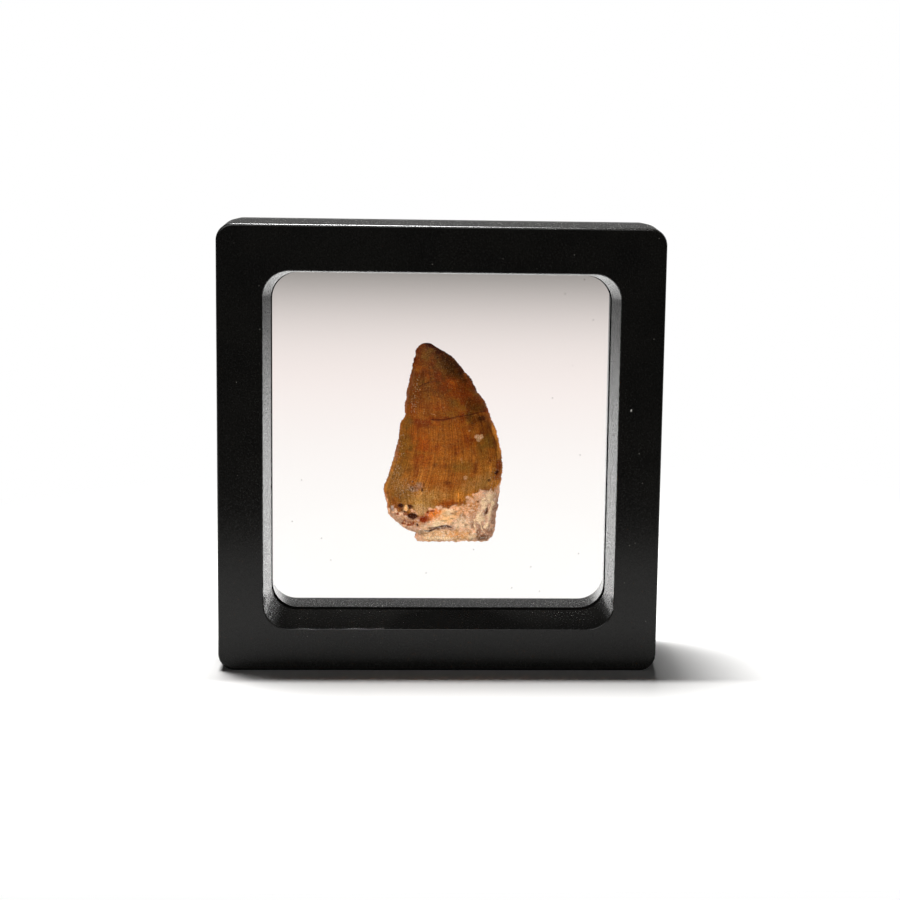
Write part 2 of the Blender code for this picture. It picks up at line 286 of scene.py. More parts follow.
@dataclass
class Wiring:
    """A node tree that is being put together."""

    tree: bpy.types.NodeTree

    def add(self, kind: str, inputs: dict[Any, Any] | None = None, **settings: Any) -> bpy.types.Node:
        """Adds a node.

        Args:
            kind: The node's type.
            inputs: Values for its inputs, three for a colour, or sockets to link to them.
            settings: The node's own settings.

        Returns:
            The node.
        """
        node = self.tree.nodes.new(kind)
        for name, value in settings.items():
            setattr(node, name, value)
        for name, value in (inputs or {}).items():
            socket = node.inputs[name]
            if isinstance(value, Socket):
                self.tree.links.new(value, socket)
            else:
                socket.default_value = (*value, 1) if socket.type == "RGBA" else value
        return node

    def math(self, operation: str, first: Any, second: Any = 0.0) -> Socket:
        """The result of a Math node on one or two values."""
        return self.add("ShaderNodeMath", {0: first, 1: second}, operation=operation).outputs[0]

    def times(self, first: Any, second: Any) -> Socket:
        """Two values multiplied."""
        return self.math("MULTIPLY", first, second)

    def plus(self, first: Any, second: Any) -> Socket:
        """Two values added."""
        return self.math("ADD", first, second)

    def vector(self, operation: str, inputs: dict[Any, Any]) -> Any:
        """The outputs of a Vector Math node."""
        return self.add("ShaderNodeVectorMath", inputs, operation=operation).outputs

    def bump(self, strength: float, depth: float, height: Socket) -> Socket:
        """The normal of a surface with a small relief."""
        return self.add("ShaderNodeBump", {"Strength": strength, "Distance": depth, "Height": height}).outputs[0]

    def group(self, tree: bpy.types.NodeTree, place: Socket, **numbers: float) -> Any:
        """The outputs of a node group that is read at a place."""
        return self.add("ShaderNodeGroup", {"Vector": place, **numbers}, node_tree=tree).outputs

    def fit(self, value: Any, low: float, high: float, to_low: float = 0.0, to_high: float = 1.0) -> Any:
        """A value carried smoothly from one range to another.

        Args:
            value: The value.
            low: Start of its range.
            high: End of its range.
            to_low: Start of the new range.
            to_high: End of the new range.

        Returns:
            The socket with the new value.
        """
        inputs = {"Value": value, "From Min": low, "From Max": high, "To Min": to_low, "To Max": to_high}
        return self.add("ShaderNodeMapRange", inputs, interpolation_type="SMOOTHSTEP").outputs["Result"]

    def blend(self, share: Any, first: Any, second: Any, way: str = "MIX") -> Socket:
        """Two colours blended.

        Args:
            share: How much of the second shows.
            first: The first colour.
            second: The second colour.
            way: The blend type.

        Returns:
            The socket with the colour.
        """
        node = self.add("ShaderNodeMix", {0: share, 6: first, 7: second}, data_type="RGBA", blend_type=way)
        return node.outputs[2]

    def noise(self, vector: Any, scale: float, detail: float = 2.0, roughness: float = 0.5) -> Socket:
        """The value of a Noise Texture of so many features to a metre."""
        inputs = {"Vector": vector, "Scale": scale, "Detail": detail, "Roughness": roughness}
        return self.add("ShaderNodeTexNoise", inputs).outputs["Fac"]

    def spots(self, vector: Any, scale: float) -> bpy.types.Node:
        """A Voronoi Texture of so many cells to a metre."""
        return self.add("ShaderNodeTexVoronoi", {"Vector": vector, "Scale": scale})

    def place(self) -> Socket:
        """Object coordinates."""
        return self.add("ShaderNodeTexCoord").outputs["Object"]


def new_material(name: str, slot_colour: Triple) -> tuple[bpy.types.Material, Wiring]:
    """An empty node material.

    Args:
        name: Its name.
        slot_colour: The colour it has in a plain view.

    Returns:
        The material and its wiring.
    """
    material = bpy.data.materials.new(name)
    material.use_nodes = True
    material.diffuse_color = (*slot_colour, 1.0)
    material.node_tree.nodes.clear()
    return material, Wiring(material.node_tree)


def new_group(name: str, numbers: dict[str, float], results: tuple[str, ...]) -> tuple[Wiring, Any, Any]:
    """An empty node group with a Vector input.

    Args:
        name: Its name.
        numbers: Its other inputs, with the value that each starts with.
        results: Its outputs.

    Returns:
        Its wiring, its input node and its output node.
    """
    group = bpy.data.node_groups.new(name, "ShaderNodeTree")
    group.interface.new_socket("Vector", in_out="INPUT", socket_type="NodeSocketVector")
    for label, value in numbers.items():
        group.interface.new_socket(label, in_out="INPUT", socket_type="NodeSocketFloat").default_value = value
    for label in results:
        group.interface.new_socket(label, in_out="OUTPUT", socket_type="NodeSocketFloat")
    wiring = Wiring(group)
    return wiring, wiring.add("NodeGroupInput"), wiring.add("NodeGroupOutput")


def counted_in(wiring: Wiring, source: bpy.types.Node, share: float) -> Socket:
    """A group's Vector, counted in its Size over a share."""
    per_metre = wiring.math("DIVIDE", share, source.outputs["Size"])
    return wiring.vector("SCALE", {0: source.outputs["Vector"], "Scale": per_metre})[0]


def fine_grain_group() -> bpy.types.NodeTree:
    """A group that gives the height of a fine pebbled grain, and a mask of its high places.

    Returns:
        The group's tree.
    """
    wiring, source, result = new_group("fine_grain", {"Size": 0.0004}, ("Height", "Mask"))
    vector = counted_in(wiring, source, 1.0)
    pebbles = wiring.spots(vector, 1.0).outputs["Distance"]
    grit = wiring.noise(vector, 2.1, 3.0, 0.6)
    swell = wiring.noise(vector, 0.23, 2.0)
    height = wiring.plus(wiring.times(pebbles, 0.45), wiring.times(grit, 0.65))
    height = wiring.plus(height, wiring.times(swell, 0.5))
    wiring.tree.links.new(height, result.inputs["Height"])
    wiring.tree.links.new(wiring.fit(grit, 0.52, 0.66), result.inputs["Mask"])
    return wiring.tree


def dust_group() -> bpy.types.NodeTree:
    """A group that gives a mask of single specks of dust, strewn unevenly.

    Returns:
        The group's tree.
    """
    wiring, source, result = new_group("dust_specks", {"Size": 0.0002, "Amount": 0.1}, ("Mask",))
    cells = wiring.spots(counted_in(wiring, source, 0.12), 1.0)
    near = wiring.fit(cells.outputs["Distance"], 0.14, 0.07)
    picked = wiring.add("ShaderNodeSeparateColor", {0: cells.outputs["Color"]}).outputs[0]
    shown = wiring.math("LESS_THAN", picked, source.outputs["Amount"])
    wiring.tree.links.new(wiring.times(near, shown), result.inputs["Mask"])
    return wiring.tree


# ---------------------------------------------------------------- finishes


@dataclass(frozen=True)
class BlackPlastic:
    """Moulded black plastic with a fine pebbled grain, a little dust and one scuff."""

    grain: bpy.types.NodeTree
    dust: bpy.types.NodeTree
    colour: Triple = (0.0034, 0.0033, 0.0030)
    cloud_colour: Triple = (0.0044, 0.0042, 0.0037)
    high_colour: Triple = (0.010, 0.0095, 0.0085)
    dust_colour: Triple = (0.15, 0.145, 0.13)
    scuff_colour: Triple = (0.42, 0.41, 0.38)
    turn: Triple = (0.6, 0.4, 0.8)
    grain_size: float = 0.00042
    grain_depth: float = 0.000018
    dust_size: float = 0.00013
    dust_amount: float = 0.05
    roughness: Pair = (0.16, 0.275)
    specular: float = 0.18
    scuff: Triple = (38.45 * MM + SHIFT_X, -10.5 * MM, 54.5 * MM)

    def build(self) -> bpy.types.Material:
        """The finished material.

        Returns:
            The material.
        """
        material, wiring = new_material("black_plastic", self.colour)
        place = wiring.place()
        turned = wiring.add("ShaderNodeMapping", {"Vector": place, "Rotation": self.turn}).outputs[0]
        grain = wiring.group(self.grain, turned, Size=self.grain_size)
        specks = wiring.group(self.dust, turned, Size=self.dust_size, Amount=self.dust_amount)
        base = self.colour
        for share, colour in (
            (wiring.fit(wiring.noise(turned, 110.0, 3.0), 0.35, 0.65), self.cloud_colour),
            (wiring.times(grain["Mask"], 0.5), self.high_colour),
            (wiring.times(specks["Mask"], 0.5), self.dust_colour),
            (self.scuff_mask(wiring, place), self.scuff_colour),
        ):
            base = wiring.blend(share, base, colour)
        inputs = {
            "Base Color": base,
            "Roughness": wiring.fit(wiring.noise(turned, 2600.0, 2.0, 0.6), 0.35, 0.65, *self.roughness),
            "Normal": wiring.bump(0.4, self.grain_depth, grain["Height"]),
            "Specular IOR Level": self.specular,
        }
        shader = wiring.add("ShaderNodeBsdfPrincipled", inputs)
        wiring.add("ShaderNodeOutputMaterial", {"Surface": shader.outputs[0]})
        return material

    def scuff_mask(self, wiring: Wiring, place: Socket) -> Socket:
        """A mask of the small pale scuff near the right edge of the front face.

        Args:
            wiring: The material's wiring.
            place: Object coordinates.

        Returns:
            The mask.
        """
        spot = tuple(-where for where in self.scuff)
        moved = wiring.vector("ADD", {0: place, 1: spot})[0]
        longer = wiring.vector("MULTIPLY", {0: moved, 1: (1.0, 0.2, 0.55)})[0]
        away = wiring.vector("LENGTH", {0: longer})["Value"]
        ragged = wiring.times(wiring.noise(place, 5200.0, 2.0), 0.0006)
        return wiring.fit(wiring.plus(away, ragged), 0.00052, 0.00036)


@dataclass(frozen=True)
class ClearFilm:
    """Clear elastic film, smooth but for faint waves and a few specks of dust."""

    dust: bpy.types.NodeTree
    plain_colour: Triple = (0.95, 0.95, 0.94)
    dust_colour: Triple = (0.3, 0.28, 0.26)
    dust_size: float = 0.00024
    dust_amount: float = 0.03
    clouding: float = 0.03
    wave_depth: float = 0.0002
    refraction: float = 1.10

    def build(self) -> bpy.types.Material:
        """The finished material.

        Returns:
            The material.
        """
        material, wiring = new_material("clear_film", self.plain_colour)
        place = wiring.place()
        specks = wiring.group(self.dust, place, Size=self.dust_size, Amount=self.dust_amount)
        inputs = {
            "Base Color": wiring.blend(wiring.times(specks["Mask"], 0.35), (1, 1, 1), self.dust_colour),
            "Roughness": wiring.fit(wiring.noise(place, 160.0, 3.0), 0.4, 0.7, 0.0, self.clouding),
            "Normal": wiring.bump(0.12, self.wave_depth, wiring.noise(place, 90.0, 2.0)),
            "Transmission Weight": 1.0,
            "IOR": self.refraction,
        }
        shader = wiring.add("ShaderNodeBsdfPrincipled", inputs)
        path = wiring.add("ShaderNodeLightPath")
        soft = wiring.math("MAXIMUM", path.outputs["Is Shadow Ray"], path.outputs["Is Diffuse Ray"])
        bounced = wiring.math("SUBTRACT", path.outputs["Is Glossy Ray"], path.outputs["Is Transmission Ray"])
        passing = wiring.math("MAXIMUM", soft, bounced)
        through = wiring.add("ShaderNodeBsdfTransparent")
        both = wiring.add("ShaderNodeMixShader", {0: passing, 1: shader.outputs[0], 2: through.outputs[0]})
        wiring.add("ShaderNodeOutputMaterial", {"Surface": both.outputs[0]})
        return material


@dataclass(frozen=True)
class FossilEnamel:
    """Stained fossil enamel and root. The stains, with painted light along the tooth's edges and base, come from the
    mesh; the streaks, pits and pale flecks that are partly painted glints come from the nodes.
    """

    grain: bpy.types.NodeTree
    enamel_swing: Triple = (0.36, 0.52, 0.95)
    root_swing: Triple = (0.26, 0.34, 0.44)
    plain_colour: Triple = (0.25, 0.10, 0.03)
    warm_colour: Triple = (0.32, 0.085, 0.010)
    # colours of pale flecks that are partly painted glints, highlights painted into the colour
    fleck_and_glint_colour: Triple = (0.42, 0.23, 0.095)
    worn_fleck_and_glint_colour: Triple = (0.58, 0.41, 0.25)
    pit_colour: Triple = (0.045, 0.018, 0.006)
    crumb_colour: Triple = (0.94, 0.84, 0.68)
    hole_colour: Triple = (0.22, 0.090, 0.030)
    loose_share: float = 0.42
    grain_size: float = 0.00022
    relief_depth: float = 0.00006
    specular: float = 0.07

    def build(self) -> bpy.types.Material:
        """The finished material.

        Returns:
            The material.
        """
        material, wiring = new_material("fossil_enamel", self.plain_colour)
        place = wiring.place()
        # the stain attribute carries the stains and the painted light along the tooth's edges and base
        stain = wiring.add("ShaderNodeAttribute", attribute_name="stain").outputs["Color"]
        kinds = wiring.add("ShaderNodeAttribute", attribute_name="kind").outputs["Color"]
        root, worn, smooth = wiring.add("ShaderNodeSeparateColor", {0: kinds}).outputs
        enamel = wiring.math("SUBTRACT", 1.0, root)
        loose = wiring.times(root, wiring.math("SUBTRACT", 1.0, smooth))
        lie = wiring.add("ShaderNodeAttribute", attribute_name="lie").outputs["Vector"]
        along = wiring.add("ShaderNodeMapping", {"Vector": lie, "Scale": (3.4, 0.16, 0.6)}).outputs[0]
        across = wiring.add("ShaderNodeMapping", {"Vector": lie, "Scale": (0.35, 2.6, 0.5)}).outputs[0]
        streaks = wiring.noise(along, 1.0, 4.0, 0.62)
        bands = wiring.noise(across, 1.0, 3.0, 0.6)
        fine = wiring.noise(place, 5200.0, 3.0, 0.6)
        colour = stain
        for change in (
            self.grey(wiring, wiring.fit(streaks, 0.32, 0.68, 0.70, 1.28), enamel),
            self.grey(wiring, wiring.fit(bands, 0.3, 0.7, 0.86, 1.12), enamel),
            self.swing(wiring, fine, root),
        ):
            colour = wiring.blend(1.0, colour, change, "MULTIPLY")
        colour = self.spotted(wiring, colour, place, enamel, worn, loose)
        grain = wiring.group(self.grain, place, Size=self.grain_size)
        rough = wiring.plus(wiring.fit(streaks, 0.3, 0.7, 0.44, 0.58), wiring.times(root, 0.34))
        relief = wiring.plus(wiring.times(streaks, 0.8), wiring.times(fine, 0.5))
        relief = wiring.plus(relief, self.held(wiring, grain["Height"], root, 0.9))
        inputs = {
            "Base Color": colour,
            "Roughness": rough,
            "Normal": wiring.bump(0.6, self.relief_depth, relief),
            "Specular IOR Level": self.specular,
        }
        shader = wiring.add("ShaderNodeBsdfPrincipled", inputs)
        wiring.add("ShaderNodeOutputMaterial", {"Surface": shader.outputs[0]})
        return material

    def spotted(
        self, wiring: Wiring, colour: Socket, place: Socket, enamel: Socket, worn: Socket, loose: Socket
    ) -> Socket:
        """Adds warm patches, pale flecks that are partly painted glints, and pits on the enamel, and crumbs and holes
        on the loose root.

        Args:
            wiring: The material's wiring.
            colour: The colour without them.
            place: Object coordinates.
            enamel: Where the enamel is.
            worn: Where it is worn.
            loose: Where the root is loose.

        Returns:
            The colour with them.
        """
        patch = wiring.fit(wiring.noise(place, 900.0, 3.0, 0.6), 0.56, 0.70)
        # Pale flecks, partly painted glints: highlights painted into the colour, denser where the enamel is worn.
        flecks_and_glints = wiring.fit(wiring.noise(place, 3700.0, 2.0, 0.6), 0.57, 0.66)
        flecks_and_glints = wiring.times(flecks_and_glints, wiring.plus(wiring.times(worn, 0.32), 0.2))
        pale = wiring.blend(worn, self.fleck_and_glint_colour, self.worn_fleck_and_glint_colour)
        pits = wiring.fit(wiring.noise(place, 2700.0, 2.0, 0.6), 0.42, 0.34)
        pits = wiring.times(pits, wiring.plus(wiring.times(worn, 0.35), 0.3))
        crumbs = wiring.fit(wiring.noise(place, 2200.0, 3.0, 0.7), 0.53, 0.61)
        holes = wiring.fit(wiring.noise(place, 1900.0, 3.0, 0.7), 0.45, 0.36)
        for mask, where, share, over in (
            (patch, enamel, 0.22, self.warm_colour),
            (flecks_and_glints, enamel, 1.0, pale),
            (pits, enamel, 1.0, self.pit_colour),
            (crumbs, loose, self.loose_share, self.crumb_colour),
            (holes, loose, self.loose_share, self.hole_colour),
        ):
            colour = wiring.blend(self.held(wiring, mask, where, share), colour, over)
        return colour

    @staticmethod
    def held(wiring: Wiring, mask: Any, where: Any, strength: float) -> Socket:
        """A mask that counts only where another one does, at a given strength."""
        return wiring.times(wiring.times(mask, where), strength)

    @staticmethod
    def grey(wiring: Wiring, value: Any, amount: Any) -> Socket:
        """A grey that multiplies a colour, held back to white where the amount is low.

        Args:
            wiring: The material's wiring.
            value: The grey's brightness.
            amount: How much of it counts.

        Returns:
            The socket with the grey.
        """
        value = wiring.plus(wiring.times(wiring.math("SUBTRACT", value, 1.0), amount), 1.0)
        return wiring.add("ShaderNodeCombineColor", {0: value, 1: value, 2: value}).outputs[0]

    def swing(self, wiring: Wiring, value: Any, root: Any) -> Socket:
        """A colour round white that swings with a noise, most in blue, so that its crests look pale, as grain and as a
        fine painted sheen.

        Args:
            wiring: The material's wiring.
            value: The noise.
            root: Where the root is.

        Returns:
            The socket with the colour.
        """
        kinds = []
        for spans in (self.enamel_swing, self.root_swing):
            channels = [wiring.fit(value, 0.3, 0.7, 1 - span, 1 + span) for span in spans]
            kinds.append(wiring.add("ShaderNodeCombineColor", dict(enumerate(channels))).outputs[0])
        return wiring.blend(root, *kinds)


# ---------------------------------------------------------------- the tooth


def smooth_through(points: Curve, at: np.ndarray) -> np.ndarray:
    """A smooth curve through (place, value) points.

    Args:
        points: The points.
        at: Places to read.

    Returns:
        The values there.
    """
    places, values = np.array(points).T
    at = np.clip(at, places[0], places[-1])
    slopes = np.gradient(values, places)
    k = np.clip(np.searchsorted(places, at, side="right") - 1, 0, len(places) - 2)
    span = places[k + 1] - places[k]
    t = (at - places[k]) / span
    rise = values[k + 1] - values[k]
    steepest = 3 * np.abs(rise) / span
    start = np.clip(slopes[k], -steepest, steepest) * span
    end = np.clip(slopes[k + 1], -steepest, steepest) * span
    return values[k] + t * start + t * t * (3 * rise - 2 * start - end) + t**3 * (start + end - 2 * rise)


def ease(value: np.ndarray) -> np.ndarray:
    """A value between 0 and 1 with soft ends."""
    value = np.clip(value, 0.0, 1.0)
    return value * value * (3 - 2 * value)


class Ripple:
    """Smooth seeded noise between -1 and 1, read at many points at once."""

    CELLS = 32

    def __init__(self, seed: int) -> None:
        """Draws the noise's lattice from a seed."""
        self.lattice = np.random.default_rng(seed).uniform(-1, 1, (self.CELLS,) * 3)

    def read(self, points: np.ndarray, size: float) -> np.ndarray:
        """The noise at some points.

        Args:
            points: One point to a row.
            size: Size of one cell, in the points' own units.

        Returns:
            One value for each point.
        """
        low = np.floor(points / size).astype(int)
        share = ease(points / size - low)
        total = np.zeros(len(points))
        for corner in product((0, 1), repeat=3):
            weight = np.prod(np.where(corner, share, 1 - share), axis=1)
            cell = (low + corner) % self.CELLS
            total += weight * self.lattice[cell[:, 0], cell[:, 1], cell[:, 2]]
        return total


@dataclass(frozen=True)
class ToothForm:
    """The law that gives the tooth its shape, the same as that of its solid."""

    tip: float = 0.0664
    base: float = 0.02487
    left_edge: Curve = (
        (0.0247, -0.0048), (0.0256, -0.0053), (0.0266, -0.0050), (0.0273, -0.0070), (0.0285, -0.0087),
        (0.0299, -0.0103), (0.0311, -0.0111), (0.0331, -0.0112), (0.0356, -0.01175), (0.0393, -0.0106),
        (0.0428, -0.0096), (0.0472, -0.0086), (0.0500, -0.0082), (0.0507, -0.0076), (0.0548, -0.0074),
        (0.0584, -0.0067), (0.0607, -0.0062), (0.0634, -0.0056), (0.0655, -0.0049), (0.0664, -0.0039),
    )  # fmt: skip
    right_edge: Curve = (
        (0.0247, 0.0105), (0.0256, 0.0113), (0.0264, 0.0116), (0.0311, 0.0123), (0.0344, 0.0127),
        (0.0369, 0.0129), (0.0395, 0.0132), (0.0423, 0.0131), (0.0457, 0.0125), (0.0483, 0.0118),
        (0.0499, 0.0111), (0.0526, 0.0100), (0.0545, 0.0092), (0.0566, 0.0078), (0.0601, 0.0057),
        (0.0620, 0.0039), (0.0639, 0.0020), (0.0652, -0.0002), (0.0659, -0.0014), (0.0664, -0.0020),
    )  # fmt: skip
    half_thickness: Curve = (
        (0.0247, 0.0035), (0.0264, 0.0040), (0.0285, 0.0044), (0.0320, 0.0048), (0.0360, 0.0050), (0.0420, 0.0047),
        (0.0480, 0.0041), (0.0540, 0.0033), (0.0590, 0.0024), (0.0630, 0.0015), (0.0655, 0.0007), (0.0664, 0.0003),
    )  # fmt: skip
    enamel_line: Curve = (
        (-0.0115, 0.0334), (-0.0082, 0.0323), (-0.0055, 0.0319), (-0.0039, 0.0318), (-0.0025, 0.0327),
        (0.0001, 0.0332), (0.0032, 0.0337), (0.0063, 0.0351), (0.0093, 0.0366), (0.0130, 0.0372),
    )  # fmt: skip
    enamel_step: float = 0.00035
    crown_bluntness: float = 0.74
    root_bluntness: float = 0.42
    tip_lean: float = 0.0007
    root_lump: float = 0.00035
    root_lump_size: float = 0.0022
    ledge_top: float = 0.0268
    ledge_reach: float = 0.0004
    break_rise: float = 0.0006
    break_roughness: float = 0.0005
    break_height: float = 0.0013
    notch_depth: float = 0.0003
    notch_length: float = 0.0011
    left_notches: tuple[float, ...] = (0.0549,)
    right_notches: tuple[float, ...] = (0.0603, 0.0563)

    def notch(self, z: np.ndarray, places: tuple[float, ...]) -> np.ndarray:
        """How deep the chips in one cutting edge reach at each height."""
        near = [np.clip(1 - np.abs(z - place) / self.notch_length, 0, 1) for place in places]
        return self.notch_depth * np.max(near, axis=0)

    def edges(self, z: np.ndarray) -> tuple[np.ndarray, np.ndarray]:
        """The x of the left and right edges at each height.

        Args:
            z: Heights.

        Returns:
            The left edge and the right edge.
        """
        left = smooth_through(self.left_edge, z) + self.notch(z, self.left_notches)
        right = smooth_through(self.right_edge, z) - self.notch(z, self.right_notches)
        return left + SHIFT_X, right + SHIFT_X

    def middle(self, z: np.ndarray) -> np.ndarray:
        """The y of the middle of the tooth's thickness at each height."""
        return self.tip_lean * np.clip((z - self.base) / (self.tip - self.base), 0, 1) ** 2

    def below_enamel(self, x: np.ndarray, z: np.ndarray) -> np.ndarray:
        """How far each point is past the lower edge of the enamel, from 0 to 1."""
        line = smooth_through(self.enamel_line, x - SHIFT_X)
        return np.clip((line - z) / 0.0010, 0, 1)

    def swell(self, x: np.ndarray, z: np.ndarray) -> np.ndarray:
        """The share of its full half thickness that the tooth has at each point, from edge to edge.

        Args:
            x: Places across.
            z: Heights.

        Returns:
            The share at each point.
        """
        left, right = self.edges(z)
        across = np.clip((2 * x - left - right) / (right - left), -1, 1)
        lower = np.clip((0.0380 - z) / 0.0080, 0, 1)
        bluntness = self.crown_bluntness + (self.root_bluntness - self.crown_bluntness) * lower
        return (1 - across * across) ** bluntness

    def face(self, x: np.ndarray, z: np.ndarray, sign: np.ndarray) -> np.ndarray:
        """The y of the tooth's surface.

        Args:
            x: Places across.
            z: Heights.
            sign: -1 for the front and 1 for the back.

        Returns:
            The y of each point.
        """
        swell = self.swell(x, z)
        thick = smooth_through(self.half_thickness, z) * swell
        below = self.below_enamel(x, z)
        lump = np.zeros(len(x))
        for k in np.flatnonzero(below > 0):
            spot = Vector((x[k], 0.01 * sign[k], z[k])) / self.root_lump_size
            lump[k] = self.root_lump * noise.noise(spot)
        ledge = self.ledge_reach * ease((self.ledge_top - z) / 0.0003 + 0.5)
        thick = thick + below * np.minimum(swell, 1) * (lump + ledge - self.enamel_step)
        return self.middle(z) + sign * np.maximum(thick, 0)


